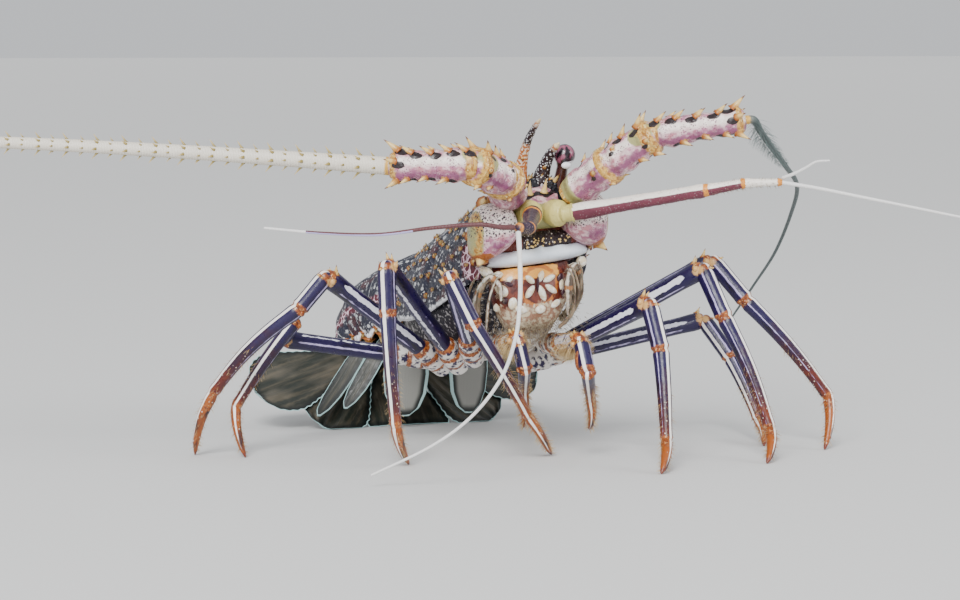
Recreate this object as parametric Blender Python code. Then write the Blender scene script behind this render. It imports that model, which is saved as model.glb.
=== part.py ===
"""Life-size still model of a spiny lobster that stands on eight feet and the edge of its tail fan.

The model faces -Y, its left side is +X, and the floor is at z = 0. Sizes below are in millimetres.
Its walking legs, long antennae and forked antennules follow routes of joint points chosen by hand.
"""

import math

import bmesh
import bpy
import numpy as np
from mathutils import Vector

MILLIMETRE = 0.001
GAP = 0.3
CUTTER_GROWTH = 0.32
MOST_GROWTH = 2.5

# The origin is below the middle of the whole model, so the body stands off it.
BODY_SHIFT = (84.0, -12.0, 0.0)

# Back shell: y of each section, height of its lower margin, height of its back, half width
SHELL_STATIONS = (
    (36, 57, 80, 25),
    (33, 54, 86, 30),
    (22, 54, 92, 33),
    (6, 56, 98, 34),
    (-8, 60, 103, 32.5),
    (-22, 66, 109, 31),
    (-36, 73, 114, 28.5),
    (-46, 78, 117, 25.5),
    (-50, 79.5, 116, 22.5),
)
SHELL_POINTS = 13
SHELL_POWER = 2.3
HEAD_TILT = 0.10
TILT_REACH = 86.0

# Underside between the legs: y, lowest height, half width below
STERNUM_STATIONS = (
    (33, 38, 21),
    (22, 35, 23),
    (6, 36, 21),
    (-8, 38, 17),
    (-22, 41, 13),
    (-36, 46, 11),
    (-44, 50, 9),
)
STERNUM_INSET = 3.0
STERNUM_DROP = 0.7

# Face
EPISTOME_HALF_WIDTH = 24.4
EPISTOME_BULGE = 9.0
FACE_Y = -50.4
EYE_RADIUS = 4.6
# Foot of each eye's stalk and middle of the eye: the left one is raised, the right one is laid aside
EYES = {"L": ((12.5, -47.5, 113), (13.1, -52.3, 127.7)), "R": ((-11.5, -46.5, 111), (-16.5, -48.5, 118.8))}
BULB_RADIUS = 5.2
MOUTH_SHIFT = -1.8

# Abdomen: the curve of its middle line in the plane x = 0
ABDOMEN_START = (37.2, 66.5)
ABDOMEN_BEND_START = (80.0, 54.5)
ABDOMEN_BEND_RADIUS = 22.0
ABDOMEN_SWAY = -13.0
ABDOMEN_HALF_WIDTHS = (28, 32, 33, 32.5, 31, 29, 25.5)
ABDOMEN_HALF_HEIGHTS = (16.5, 18.5, 18.5, 18, 17, 16, 14)
ABDOMEN_SHARES = (0.0, 0.13, 0.32, 0.50, 0.67, 0.84, 1.0)
TERGITE_OUTLINE = (
    (0.0, 1.0), (0.36, 0.95), (0.66, 0.78), (0.87, 0.5), (0.98, 0.1), (1.02, -0.35), (0.97, -0.9),
    (0.82, -0.5), (0.42, -0.42),
)

# Tail fan: five flat blades that hang from the last ring and spread over the floor's edge
FAN_ROOT = (ABDOMEN_SWAY, 94.0, 27.3)
FAN_SLOPE = math.radians(45.0)
FAN_THICKNESS = 1.1
FAN_LAYER = 1.5

FLAGELLUM_SIDES = 8


def mirror(point, side):
    """A point of the left side, or its twin of the right side."""
    return Vector((point[0] * side, point[1], point[2]))


def tilt_at(y):
    """The head leans to its right, and the lean fades out towards the tail."""
    reach = (SHELL_STATIONS[0][0] - y) / TILT_REACH
    return HEAD_TILT * min(1.0, max(0.0, reach))


def between(table, y, column):
    """A column of a table of sections, at a y between two of them."""
    for ahead, behind in zip(table[1:], table[:-1]):
        if ahead[0] <= y <= behind[0]:
            share = (behind[0] - y) / (behind[0] - ahead[0])
            return behind[column] + share * (ahead[column] - behind[column])
    return table[-1][column] if y < table[-1][0] else table[0][column]


def round_section(sides, power=2.0):
    """Unit points of a round or squarish section."""
    section = []
    for index in range(sides):
        angle = 2 * math.pi * (index + 0.5) / sides
        across, up = math.cos(angle), math.sin(angle)
        section.append((
            math.copysign(abs(across) ** (2 / power), across),
            math.copysign(abs(up) ** (2 / power), up),
        ))
    return section


def tube_rings(route, sizes, up, section, start_normal=None, end_normal=None):
    """Rings of a bent tube: each lies in the plane that halves the bend at its point."""
    route = [Vector(point) for point in route]
    heading = (route[1] - route[0]).normalized()
    top = (up - heading * up.dot(heading)).normalized()
    rings = []
    for index, (centre, (half_wide, half_high)) in enumerate(zip(route, sizes)):
        last = index + 1 == len(route)
        leaving = heading if last else (route[index + 1] - centre).normalized()
        normal = (heading + leaving).normalized()
        if index == 0 and start_normal is not None:
            normal = start_normal
        if last and end_normal is not None:
            normal = end_normal
        side = heading.cross(top)
        ring = []
        for across, above in section:
            point = centre + side * (across * half_wide) + top * (above * half_high)
            slide = normal.dot(centre - point) / normal.dot(heading)
            ring.append(point + heading * slide)
        rings.append(ring)
        top = heading.rotation_difference(leaving) @ top
        heading = leaving
    return rings


def clear_of_bend(radius, normal, heading):
    """How far from a slanted end a square ring of a tube has to stand."""
    if normal is None:
        return 0.0
    return radius * 1.1 * math.tan(math.acos(min(1.0, normal.dot(heading)))) + 0.8


def smooth_route(points, count):
    """Evenly counted points on a smooth curve through the given ones."""
    knots = [Vector(point) for point in points]
    knots = [knots[0] * 2 - knots[1]] + knots + [knots[-1] * 2 - knots[-2]]
    spans = len(knots) - 3
    route = []
    for step in range(count):
        place = spans * step / (count - 1)
        span = min(int(place), spans - 1)
        t = place - span
        a, b, c, d = knots[span:span + 4]
        route.append(0.5 * (
            2 * b + (c - a) * t + (2 * a - 5 * b + 4 * c - d) * t ** 2 + (3 * b - a - 3 * c + d) * t ** 3
        ))
    return route


def close_loft(rings):
    """A mesh of the closed solid through the rings, with its side faces by ring and place."""
    mesh = bmesh.new()
    rows = [[mesh.verts.new(point) for point in ring] for ring in rings]
    sides = len(rings[0])
    faces = {}
    for row in range(len(rows) - 1):
        for place in range(sides):
            beside = (place + 1) % sides
            faces[row, place] = mesh.faces.new((
                rows[row][place], rows[row][beside], rows[row + 1][beside], rows[row + 1][place],
            ))
    mesh.faces.new(rows[0][::-1])
    mesh.faces.new(rows[-1])
    bmesh.ops.recalc_face_normals(mesh, faces=mesh.faces)
    mesh.normal_update()
    return mesh, faces


def draw_spine(mesh, face, length, lean, base=0.5):
    """Draw one face out into a sharp spine whose foot is a share of the face."""
    centre = face.calc_center_median()
    direction = (face.normal + Vector(lean)).normalized()
    bmesh.ops.inset_individual(mesh, faces=[face], thickness=0.0)
    for corner in face.verts:
        corner.co = centre + (corner.co - centre) * base
    tip = bmesh.ops.poke(mesh, faces=[face])["verts"][0]
    tip.co = centre + direction * length


def draw_leaf(mesh, face, steps, across, thickness):
    """Draw one face out into a thin leaf through steps of centre and width."""
    for centre, width in steps:
        face = bmesh.ops.extrude_discrete_faces(mesh, faces=[face])["faces"][0]
        heading = face.normal.copy()
        thin = across.cross(heading).normalized() * (thickness / 2)
        wide = across.normalized() * (width / 2)
        corners = [wide + thin, thin - wide, -wide - thin, wide - thin]
        middle = face.calc_center_median()
        offsets = [corner.co - middle for corner in face.verts]
        orders = [corners[turn:] + corners[:turn] for turn in range(4)]
        corners.reverse()
        orders += [corners[turn:] + corners[:turn] for turn in range(4)]
        best = max(orders, key=lambda order: sum(a.dot(b) for a, b in zip(order, offsets)))
        for corner, offset in zip(face.verts, best):
            corner.co = Vector(centre) + offset
        face.normal_update()


def material_of(name, colour, roughness):
    """A plain coloured finish."""
    material = bpy.data.materials.new(name)
    material.use_nodes = True
    shader = material.node_tree.nodes["Principled BSDF"]
    shader.inputs["Base Color"].default_value = (*colour, 1.0)
    shader.inputs["Roughness"].default_value = roughness
    return material


COLOURS = {
    "shell": ((0.03, 0.03, 0.05), 0.45),
    "underside": ((0.55, 0.48, 0.42), 0.55),
    "face_white": ((0.72, 0.76, 0.82), 0.3),
    "mouth": ((0.75, 0.42, 0.2), 0.45),
    "peduncle": ((0.62, 0.42, 0.55), 0.4),
    "flagellum": ((0.85, 0.82, 0.74), 0.45),
    "antennule": ((0.28, 0.07, 0.12), 0.4),
    "eye": ((0.03, 0.02, 0.06), 0.12),
    "horn": ((0.6, 0.35, 0.15), 0.4),
    "leg": ((0.05, 0.03, 0.14), 0.35),
    "fan": ((0.06, 0.07, 0.05), 0.5),
}
LOBSTER = []


def place_object(name, mesh, colour):
    """Turn a mesh in millimetres into a named object of the model."""
    bmesh.ops.triangulate(mesh, faces=mesh.faces)
    for corner in mesh.verts:
        corner.co *= MILLIMETRE
    data = bpy.data.meshes.new(name)
    mesh.to_mesh(data)
    mesh.free()
    data.materials.append(material_of(name, *COLOURS[colour]))
    data.shade_smooth()
    data.set_sharp_from_angle(angle=math.radians(40))
    made = bpy.data.objects.new(name, data)
    made.parent = LOBSTER[0]
    bpy.context.scene.collection.objects.link(made)
    return made


def place_loft(name, rings, colour, spines=()):
    """Make a lofted object; each spine is its face, length, lean and foot."""
    mesh, faces = close_loft(rings)
    for key, length, lean, base in spines:
        draw_spine(mesh, faces[key], length, lean, base)
    return place_object(name, mesh, colour)


def grow_mesh(mesh, growth):
    """Move each corner out so that the faces round it all move by the growth, or nearly."""
    normals = [[] for _ in mesh.vertices]
    for face in mesh.polygons:
        for index in face.vertices:
            normals[index].append(face.normal[:])
    moves = []
    for around in normals:
        move = np.linalg.lstsq(np.array(around), np.full(len(around), growth), rcond=0.2)[0]
        length = np.linalg.norm(move)
        moves.append(move * min(1.0, MOST_GROWTH * growth / length))
    for corner, move in zip(mesh.vertices, moves):
        corner.co += Vector(move)


def carve(target, *neighbours):
    """Cut the room of touching neighbours, grown by the gap, out of an object."""
    for neighbour in neighbours:
        grown = neighbour.data.copy()
        grow_mesh(grown, CUTTER_GROWTH * MILLIMETRE)
        cutter = bpy.data.objects.new(f"room_{target.name}_{neighbour.name}", grown)
        cutter.parent = LOBSTER[0]
        cutter.hide_render = True
        cutter.display_type = "WIRE"
        bpy.context.scene.collection.objects.link(cutter)
        cut = target.modifiers.new(f"room for {neighbour.name}", "BOOLEAN")
        cut.operation = "DIFFERENCE"
        cut.solver = "EXACT"
        cut.object = cutter


def shell_ring(y, margin, back, half_width):
    """One upright section of the back shell, from its left margin over the back to its right one."""
    tilt = tilt_at(y)
    ring = []
    for index in range(SHELL_POINTS):
        angle = math.pi * index / (SHELL_POINTS - 1)
        x = math.copysign(abs(math.cos(angle)) ** (2 / SHELL_POWER), math.cos(angle)) * half_width
        z = margin + (back - margin) * math.sin(angle) ** (2 / SHELL_POWER)
        ring.append(Vector((x, y, z + x * tilt)))
    return ring


def build_shell():
    """The back shell, with rows of forward spines along its back and sides."""
    rings = [shell_ring(*station) for station in SHELL_STATIONS]
    spines = []
    for row in range(1, len(rings) - 2):
        length = 2.4 + 0.35 * row
        for place in range(2 - row % 2, SHELL_POINTS - 2, 2):
            spines.append(((row, place), length, (0, -1.1, 0.25), 0.3))
    front = len(rings) - 3
    for place in (2, 9):
        spines.append(((front, place), 6.5, (0, -1.4, 0.4), 0.4))
    taken = {}
    for spine in spines:
        taken[spine[0]] = spine
    return place_loft("carapace", rings, "shell", taken.values())


def build_sternum():
    """The underside plate between the legs, below the margins of the back shell."""
    rings = []
    for y, low, below in STERNUM_STATIONS:
        margin = between(SHELL_STATIONS, y, 1) - STERNUM_DROP
        wide = between(SHELL_STATIONS, y, 3) - STERNUM_INSET
        tilt = tilt_at(y)
        middle = (margin + low) / 2
        outline = (
            (wide, margin), (wide * 0.55 + below * 0.5, middle), (below, low + 2), (below * 0.45, low),
        )
        whole = list(outline) + [(-x, z) for x, z in reversed(outline)]
        rings.append([Vector((x, y, z + x * tilt)) for x, z in whole])
    return place_loft("sternum", rings, "underside")


def build_epistome():
    """The smooth white bar above the mouth, with the dark ledge over it."""
    rings = []
    stations = 9
    for index in range(stations):
        share = 2 * index / (stations - 1) - 1
        x = EPISTOME_HALF_WIDTH * share
        front = FACE_Y - 1.6 - EPISTOME_BULGE * math.sqrt(1 - min(0.97, share ** 2))
        top = 95.6 - 4.5 * share ** 2
        outline = (
            (FACE_Y, 82), (front + 1.2, 82), (front, 84), (front, 87.5), (front + 1.4, 90),
            (front + 2.6, 91), (front + 3.2 * (1 - share ** 2) + 0.4, top), (FACE_Y, top),
        )
        rings.append([Vector((x, min(y, FACE_Y - 0.2) if y != FACE_Y else y, z + x * HEAD_TILT))
                      for y, z in outline])
    return place_loft("epistome", rings, "face_white")


def build_face_plate():
    """The plate between the antennae, with its pair of cream spines."""
    rings = []
    for x in (-9.5, -5.2, -1.5, 1.5, 5.2, 9.5):
        high = 115 - 0.02 * x * x
        outline = (
            (FACE_Y, 96.2), (FACE_Y - 4.4, 96.2), (FACE_Y - 4.4, 110.5), (FACE_Y - 2.2, high), (FACE_Y, high + 1),
        )
        rings.append([Vector((x, y, z + x * HEAD_TILT)) for y, z in outline])
    spines = [((band, 2), 6.5, (0, -0.4, 1.3), 0.8) for band in (1, 3)]
    return place_loft("antennular_plate", rings, "peduncle", spines)


def build_mouth():
    """The closed mouthparts below the white bar."""
    rings = []
    levels = ((81.6, 16.5, 7.0), (77, 18, 9.5), (70, 17.5, 10.5), (63, 15, 9.5), (57, 11.5, 7), (54.5, 8, 4.5))
    for z, half, depth in levels:
        outline = [(half, 6.2), (half, -1), (half * 0.72, -depth * 0.75), (half * 0.25, -depth)]
        whole = outline + [(-x, y) for x, y in reversed(outline)]
        rings.append([Vector((x + MOUTH_SHIFT, FACE_Y + y, z + x * HEAD_TILT)) for x, y in whole])
    return place_loft("mouthparts", rings, "mouth")


def build_maxilliped(name, side):
    """A bent feeding leg that frames one side of the mouth."""
    route = [(18, -46.6, 56), (20.8, -52, 62), (21.8, -55, 69), (20.6, -57.5, 75.5), (17.8, -60.4, 79.4),
             (14.4, -62.4, 75.5), (13.9, -62.8, 69.5), (14.4, -61.6, 64), (15.2, -59, 59.5)]
    route = [mirror(point, side) for point in route]
    for point in route:
        point.z += point.x * HEAD_TILT
        point.x += MOUTH_SHIFT * 1.8
    sizes = [(2.2, 2.6), (2.6, 3), (2.6, 2.9), (2.3, 2.6), (2.1, 2.3), (2.1, 2.2), (1.9, 2), (1.5, 1.7), (0.9, 1.2)]
    rings = tube_rings(route, sizes, Vector((side, 0, 0.2)), round_section(6))
    return place_loft(name, rings, "underside")


def build_horn(name, base, tip, radius, sides=8):
    """A horn over the eye, curved forward from a broad foot."""
    base, tip = Vector(base), Vector(tip)
    length = (tip - base).length
    bend = Vector((0, 0.1, 0.06)) * length
    route = []
    sizes = []
    for share, width in ((-0.12, 1.25), (0.08, 1.0), (0.3, 0.72), (0.6, 0.55), (0.85, 0.42), (1.0, 0.12)):
        route.append(base.lerp(tip, share) + bend * 4 * max(0, share) * (1 - max(0, share)))
        sizes.append((radius * width, radius * width))
    rings = tube_rings(route, sizes, Vector((1, 0, 0)), round_section(sides))
    return place_loft(name, rings, "horn")


def build_eye(name, foot, centre):
    """A dark round eye on its short stalk."""
    foot, centre = Vector(foot), Vector(centre)
    axis = (centre - foot).normalized()
    route = [foot, foot.lerp(centre, 0.45)]
    sizes = [(2.6, 2.6), (2.3, 2.3)]
    for degrees in (-55, -25, 5, 35, 62, 82):
        angle = math.radians(degrees)
        route.append(centre + axis * EYE_RADIUS * math.sin(angle))
        sizes.append((EYE_RADIUS * math.cos(angle), EYE_RADIUS * math.cos(angle)))
    rings = tube_rings(route, sizes, Vector((0, -1, 0)), round_section(10))
    return place_loft(name, rings, "eye")


def build_antenna_base(name, side):
    """The fixed block that carries an antenna, with its outer lower spine."""
    rings = []
    stations = ((-50.6, 21, 97, 9.2, 13), (-56, 21.2, 97, 9.6, 13.2), (-62, 20.6, 97.5, 8.4, 11.6),
                (-67, 19.6, 99, 5.4, 7.6))
    for y, x, z, half_wide, half_high in stations:
        ring = []
        for across, up in round_section(10, 2.5):
            along = (x + across * half_wide) * side
            rise = max(0, -up) * half_high * 0.62 * (1 - across) / 2
            ring.append(Vector((along, y, z + up * half_high + rise + along * HEAD_TILT)))
        rings.append(ring)
    outer = 7 if side < 0 else 8
    spines = [((0, outer), 7.0, (side * 0.5, -0.6, -0.7), 0.75)]
    return place_loft(name, rings, "peduncle", spines)


def build_peduncle(label, side, joints, radii):
    """The three thick lengths of an antenna, spined on their upper and front sides."""
    names = [f"antenna_{part}_{label}" for part in ("merus", "carpus", "stem")]
    joints = [Vector(joint) for joint in joints]
    headings = [(b - a).normalized() for a, b in zip(joints[:-1], joints[1:])]
    made = []
    for index, name in enumerate(names):
        heading = headings[index]
        start, end = joints[index], joints[index + 1]
        start_normal = (headings[index - 1] + heading).normalized() if index else None
        end_normal = (heading + headings[index + 1]).normalized() if index < 2 else None
        if index:
            start = start + heading * (GAP / 2 / start_normal.dot(heading))
        if index < 2:
            end = end - heading * (GAP / 2 / end_normal.dot(heading))
        route = []
        sizes = []
        near, far = radii[index]
        length = (end - start).length
        first = max(0.16, clear_of_bend(near, start_normal, heading) / length)
        last = 1 - max(0.12, clear_of_bend(far, end_normal, heading) / length)
        shares = (0, first, 0.65 * first + 0.35 * last, 0.3 * first + 0.7 * last, last, 1)
        for share, swell in zip(shares, (0.94, 1.04, 0.97, 0.97, 1.05, 0.95)):
            radius = (near + (far - near) * share) * swell
            route.append(start.lerp(end, share))
            sizes.append((radius, radius))
        rings = tube_rings(route, sizes, Vector((0, 0, 1)), round_section(10), start_normal, end_normal)
        forward = heading * 0.9
        spines = []
        for band, places in ((1, (1, 3, 9)), (2, (2, 5)), (3, (1, 3, 9)), (4, (2,))):
            if index == 0 and band < 3:
                continue
            for place in places:
                spines.append(((band, place), 4.2, tuple(forward), 0.42))
        made.append(place_loft(name, rings, "peduncle", spines))
    return made


def build_flagellum(names, points, diameters, count):
    """A long whip in one or two lengths, tapered along its whole run."""
    route = smooth_route(points, count)
    halves = [diameters[0] / 2 + (diameters[1] - diameters[0]) / 2 * (step / (count - 1)) ** 0.8
              for step in range(count)]
    if len(names) == 1:
        rings = tube_rings(route, [(half, half) for half in halves], Vector((0, 0, 1)),
                           round_section(FLAGELLUM_SIDES))
        return [place_loft(names[0], rings, "flagellum")]
    middle = count // 2
    normal = (route[middle + 1] - route[middle - 1]).normalized()
    parts = []
    for name, span, shift in ((names[0], slice(0, middle + 1), -1), (names[1], slice(middle, count), 1)):
        piece = [point.copy() for point in route[span]]
        cut = -1 if shift < 0 else 0
        piece[cut] += normal * shift * GAP / 2
        ends = (None, normal) if shift < 0 else (normal, None)
        rings = tube_rings(piece, [(half, half) for half in halves[span]], Vector((0, 0, 1)),
                           round_section(FLAGELLUM_SIDES), *ends)
        parts.append(place_loft(name, rings, "flagellum"))
    return parts


def build_antennule(name, side, joints, radii):
    """A slim feeler: a round bulb on the face, then a stem in two lengths."""
    bulb = [mirror((6.1, FACE_Y - 4.8, 103.6), side), mirror((6.1, FACE_Y - 7.5, 103.8), side),
            mirror((6.2, FACE_Y - 11.5, 103.8), side), mirror((6.8, FACE_Y - 14.5, 103.7), side)]
    route = bulb + [Vector(joint) for joint in joints]
    sizes = [(4.2, 4.9), (BULB_RADIUS, 6.2), (5.0, 5.6), (4.0, 4.2)] + [(radius, radius) for radius in radii]
    rings = tube_rings(route, sizes, Vector((0, 0, 1)), round_section(8))
    return place_loft(name, rings, "antennule")


def build_leg(label, base, knee, wrist, ankle, tip, scale, bow, foot):
    """A walking leg in two lengths that meet at the knee: the thigh, and the shin with its claw."""
    base, knee, wrist, ankle, tip = (Vector(point) for point in (base, knee, wrist, ankle, tip))
    thigh, shin, lower = (knee - base).normalized(), (wrist - knee).normalized(), (ankle - wrist).normalized()
    knee_normal = (thigh + shin).normalized()
    outward = (thigh - lower * thigh.dot(lower)).normalized()
    up = -(lower - thigh * lower.dot(thigh)).normalized()
    length = (knee - base).length
    section = round_section(8)
    inset = 5.0
    fold = clear_of_bend(4.0 * scale, knee_normal, thigh)
    route = [base - thigh * inset, base + thigh * 4, base + thigh * 9.5, base + thigh * 12.5, base + thigh * 16,
             base.lerp(knee, 0.55), knee - thigh * max(7.0, fold), knee - thigh * (GAP / 2 / knee_normal.dot(thigh))]
    widths = (4.9, 5.0, 5.0, 4.1, 3.5, 3.7, 3.9, 3.3)
    sizes = [(width * scale, width * scale * 1.04) for width in widths]
    if length < 45:
        route = [route[0], route[1], route[2], route[4], route[6], route[7]]
        sizes = [sizes[0], sizes[1], sizes[2], sizes[4], sizes[6], sizes[7]]
    rings = tube_rings(route, sizes, up, section, None, knee_normal)
    top_places = (1, 2)
    last = len(rings) - 2
    spines = [((last, place), 4.6 * scale, tuple(thigh * 0.45), 0.5) for place in top_places]
    upper = place_loft(f"leg_{label}_upper", rings, "leg", spines)

    bent = outward * bow
    middle = (knee - wrist).length
    wrist_fold = clear_of_bend(3.6 * scale, (shin + lower).normalized(), lower)
    route = [knee + shin * (GAP / 2 / knee_normal.dot(shin)), knee + shin * max(middle * 0.35, fold),
             wrist - shin * max(middle * 0.2, wrist_fold), wrist, wrist + lower * max(6.0, wrist_fold),
             wrist.lerp(ankle, 0.5) + bent, ankle - lower * 5, ankle]
    widths = (3.3, 3.8, 3.6, 3.3, 3.3, 3.0, 2.45, 2.5)
    claw = (tip - ankle)
    curl = outward * (0.06 * claw.length)
    route += [ankle.lerp(tip, 0.4) + curl, ankle.lerp(tip, 0.75) + curl * 0.8, tip]
    widths += (2.35, 1.8, 1.15)
    sizes = [(width * scale, width * scale) for width in widths]
    end_normal = Vector((0, 0, -1)) if foot else None
    rings = tube_rings(route, sizes, up_after(up, thigh, shin), section, knee_normal, end_normal)
    lower_leg = place_loft(f"leg_{label}_lower", rings, "leg")
    return [upper, lower_leg]


def up_after(up, before, after):
    """Carry a section's upward direction through a bend."""
    return before.rotation_difference(after) @ up


def abdomen_frame(share):
    """Middle point, heading and upward direction at a share of the abdomen's curve."""
    start = Vector((0, *ABDOMEN_START))
    bend = Vector((0, *ABDOMEN_BEND_START))
    straight = bend - start
    heading = straight.normalized()
    slope = math.atan2(-heading.z, heading.y)
    turn = math.pi / 2 - slope
    arc = ABDOMEN_BEND_RADIUS * turn
    run = share * (straight.length + arc)
    if run <= straight.length:
        centre = start + heading * run
        angle = slope
    else:
        angle = slope + (run - straight.length) / ABDOMEN_BEND_RADIUS
        hub = bend - Vector((0, math.sin(slope), math.cos(slope))) * ABDOMEN_BEND_RADIUS
        centre = hub + Vector((0, math.sin(angle), math.cos(angle))) * ABDOMEN_BEND_RADIUS
    centre.x = ABDOMEN_SWAY * share ** 2
    return centre, Vector((0, math.cos(angle), -math.sin(angle))), Vector((0, math.sin(angle), math.cos(angle)))


def abdomen_ring(share, half_width, half_height, shift=0.0, pleura=1.0):
    """A section of the abdomen: a domed back, side plates that hang down, and a flat underside."""
    centre, heading, up = abdomen_frame(share)
    half = list(TERGITE_OUTLINE)
    half[6] = (half[6][0], half[6][1] * pleura)
    whole = half + [(0.0, -0.4)] + [(-x, z) for x, z in reversed(half[1:])]
    side = Vector((1, 0, 0))
    return [centre + heading * shift + side * (x * half_width) + up * (z * half_height) for x, z in whole]


# Swimming leaves by ring and side: offset of the root, direction of fall, length and widest width
LEAVES = {
    (1, 1): (12.5, (0, 0.12, -1), 50, 20), (1, -1): (-18.5, (0, 0.12, -1), 50, 20),
    (2, 1): (15.5, (0.05, -0.07, -0.95), 43, 8), (2, -1): (-17, (-0.62, -0.12, -0.93), 45, 9),
    (3, 1): (17, (0.64, -0.40, -0.75), 22, 11), (3, -1): (-20, (-0.8, -0.3, -1), 42, 9),
    (4, 1): (15, (0.47, -0.58, -0.75), 21, 11), (4, -1): (-15, (-0.47, -0.58, -0.75), 21, 11),
}


def build_abdomen():
    """Six rings of the abdomen, each a little bulged, with swimming leaves under four of them."""
    made = []
    count = len(ABDOMEN_SHARES) - 1
    for index in range(count):
        first, second = ABDOMEN_SHARES[index:index + 2]
        widths = ABDOMEN_HALF_WIDTHS[index:index + 2]
        heights = ABDOMEN_HALF_HEIGHTS[index:index + 2]
        middle = (first + second) / 2
        rings = [
            abdomen_ring(first, widths[0] * 0.97, heights[0] * 0.97, GAP / 2, 0.85),
            abdomen_ring(middle, sum(widths) / 2 * 1.03, sum(heights) / 2 * 1.02, 0.0, 1.15),
            abdomen_ring(second, widths[1] * 0.97, heights[1] * 0.97, -GAP / 2, 0.85),
        ]
        mesh, faces = close_loft(rings)
        _, heading, up = abdomen_frame(middle)
        if 0 < index < 5:
            for place in (5, 12):
                lean = heading * 0.5 - up * 0.9
                draw_spine(mesh, faces[1, place], 5.0, lean, 0.55)
            for place, side in ((8, 1), (9, -1)):
                face = faces[0, place]
                root = face.calc_center_median()
                offset, fall, reach, widest = LEAVES[index, side]
                root.x = ABDOMEN_SWAY * middle ** 2 + offset
                fall = Vector(fall)
                across = Vector((1, 0.2 * side, 0)) if index == 1 else Vector((0.75, 0.45 * side, 0))
                steps = [(root + fall * 3, 4.5), (root + fall * reach * 0.42, widest),
                         (root + fall * reach * 0.8, widest * 0.95), (root + fall * reach, widest * 0.45)]
                draw_leaf(mesh, face, steps, across, 1.2)
        made.append(place_object(f"abdomen_{index + 1}", mesh, "shell"))
    return made


def fan_point(side, root_x, angle, along, across, layer):
    """A point of a blade, from its length along its own line and its offset across it."""
    down = Vector((0, -math.cos(FAN_SLOPE), -math.sin(FAN_SLOPE)))
    ahead = Vector((0, -math.sin(FAN_SLOPE), math.cos(FAN_SLOPE)))
    out = Vector((side, 0, 0))
    line = down * math.cos(angle) + out * math.sin(angle)
    cross = out * math.cos(angle) - down * math.sin(angle)
    return Vector(FAN_ROOT) + out * root_x + ahead * layer + line * along + cross * across, line


def build_blade(name, side, root_x, degrees, length, outline, layer):
    """A flat blade of the tail fan; what would pass through the floor ends in a flat on it."""
    angle = math.radians(degrees)
    faces = []
    for level in (layer, layer + FAN_THICKNESS):
        ring = []
        for share, half in outline:
            point, line = fan_point(side, root_x, angle, share * length, half, level)
            if point.z < 0:
                point = point - line * (point.z / line.z)
            ring.append(point)
        faces.append(ring)
    return place_loft(name, faces, "fan")


def build_fan():
    """The telson and the two pairs of side blades."""
    def leaf(inner, outer, widest):
        rising = ((0.0, 0.22), (0.25, 0.5), (0.5, 0.8), (0.72, 1.0), (0.88, 0.86), (0.97, 0.52), (1.0, 0.15))
        left = [(share, inner * grow * widest) for share, grow in rising]
        right = [(share, -outer * grow * widest) for share, grow in reversed(rising)]
        return left + right
    telson = ((0.0, 6.5), (0.35, 11.5), (0.7, 17), (1.0, 20), (1.05, 17.5), (1.05, -17.5), (1.0, -20), (0.7, -17),
              (0.35, -11.5), (0.0, -6.5))
    made = [build_blade("telson", 1, 0, 0, 39, telson, 0)]
    for label, side in (("L", 1), ("R", -1)):
        made.append(build_blade(f"endopod_{label}", side, 11, 37, 50, leaf(1, 1, 16), FAN_LAYER))
        made.append(build_blade(f"exopod_{label}", side, 15, 71, 57.5, leaf(1, 1, 17.5), FAN_LAYER * 2))
    return made


# Walking legs: base, knee, wrist, ankle, tip, thickness, bow of the long lower length, foot on the floor
LEGS = {
    "1_R": ((-11.5, -42, 47), (-17, -73, 53), (-12.5, -70, 40.5), (-5, -51.5, 28), (-2, -44, 12), 0.86, 0.0, False),
    "2_R": ((-19.5, -29, 43), (-47, -73, 80), (-37, -74, 60), (-7, -61, 19), (9, -48.5, 0), 0.95, 1.5, True),
    "3_R": ((-22, -15.5, 39), (-69, -58, 84), (-69, -60, 64), (-67.5, -65, 18), (-57, -52, 0), 1.0, 0.6, True),
    "4_R": ((-25.5, -3, 37), (-86, -32, 78), (-97, -29, 64.5), (-127, -4.5, 28), (-131.5, 8, 0), 1.0, 3.2, True),
    "5_R": ((-27, 12, 37), (-88.5, 19, 47), (-90, -1, 56), (-116, -0.5, 21), (-114, -7.5, 0), 0.94, 0.8, True),
    "1_L": ((11, -42, 47), (10, -77, 51.5), (9.5, -85, 39.5), (19, -67, 26), (23, -56.5, 11.5), 0.9, 0.0, False),
    "2_L": ((20.5, -30, 43), (37, -86, 67), (39, -93, 48), (36, -105, 12), (28.5, -116, 0), 1.0, 0.5, True),
    "3_L": ((23.5, -15.5, 39.4), (72, -65, 79), (77, -76, 58.5), (89.5, -94, 13), (82, -106, 0), 1.0, 1.6, True),
    "4_L": ((25, -2.5, 38), (89, -40, 80), (100, -51, 63), (130.5, -70, 22), (124, -79, 0), 1.0, 1.4, True),
    "5_L": ((27, 11, 33.6), (97.5, -15, 51.6), (105, -27, 35.4), (109, -46, 10), (105, -59, 0), 0.94, 0.6, True),
}

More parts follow.
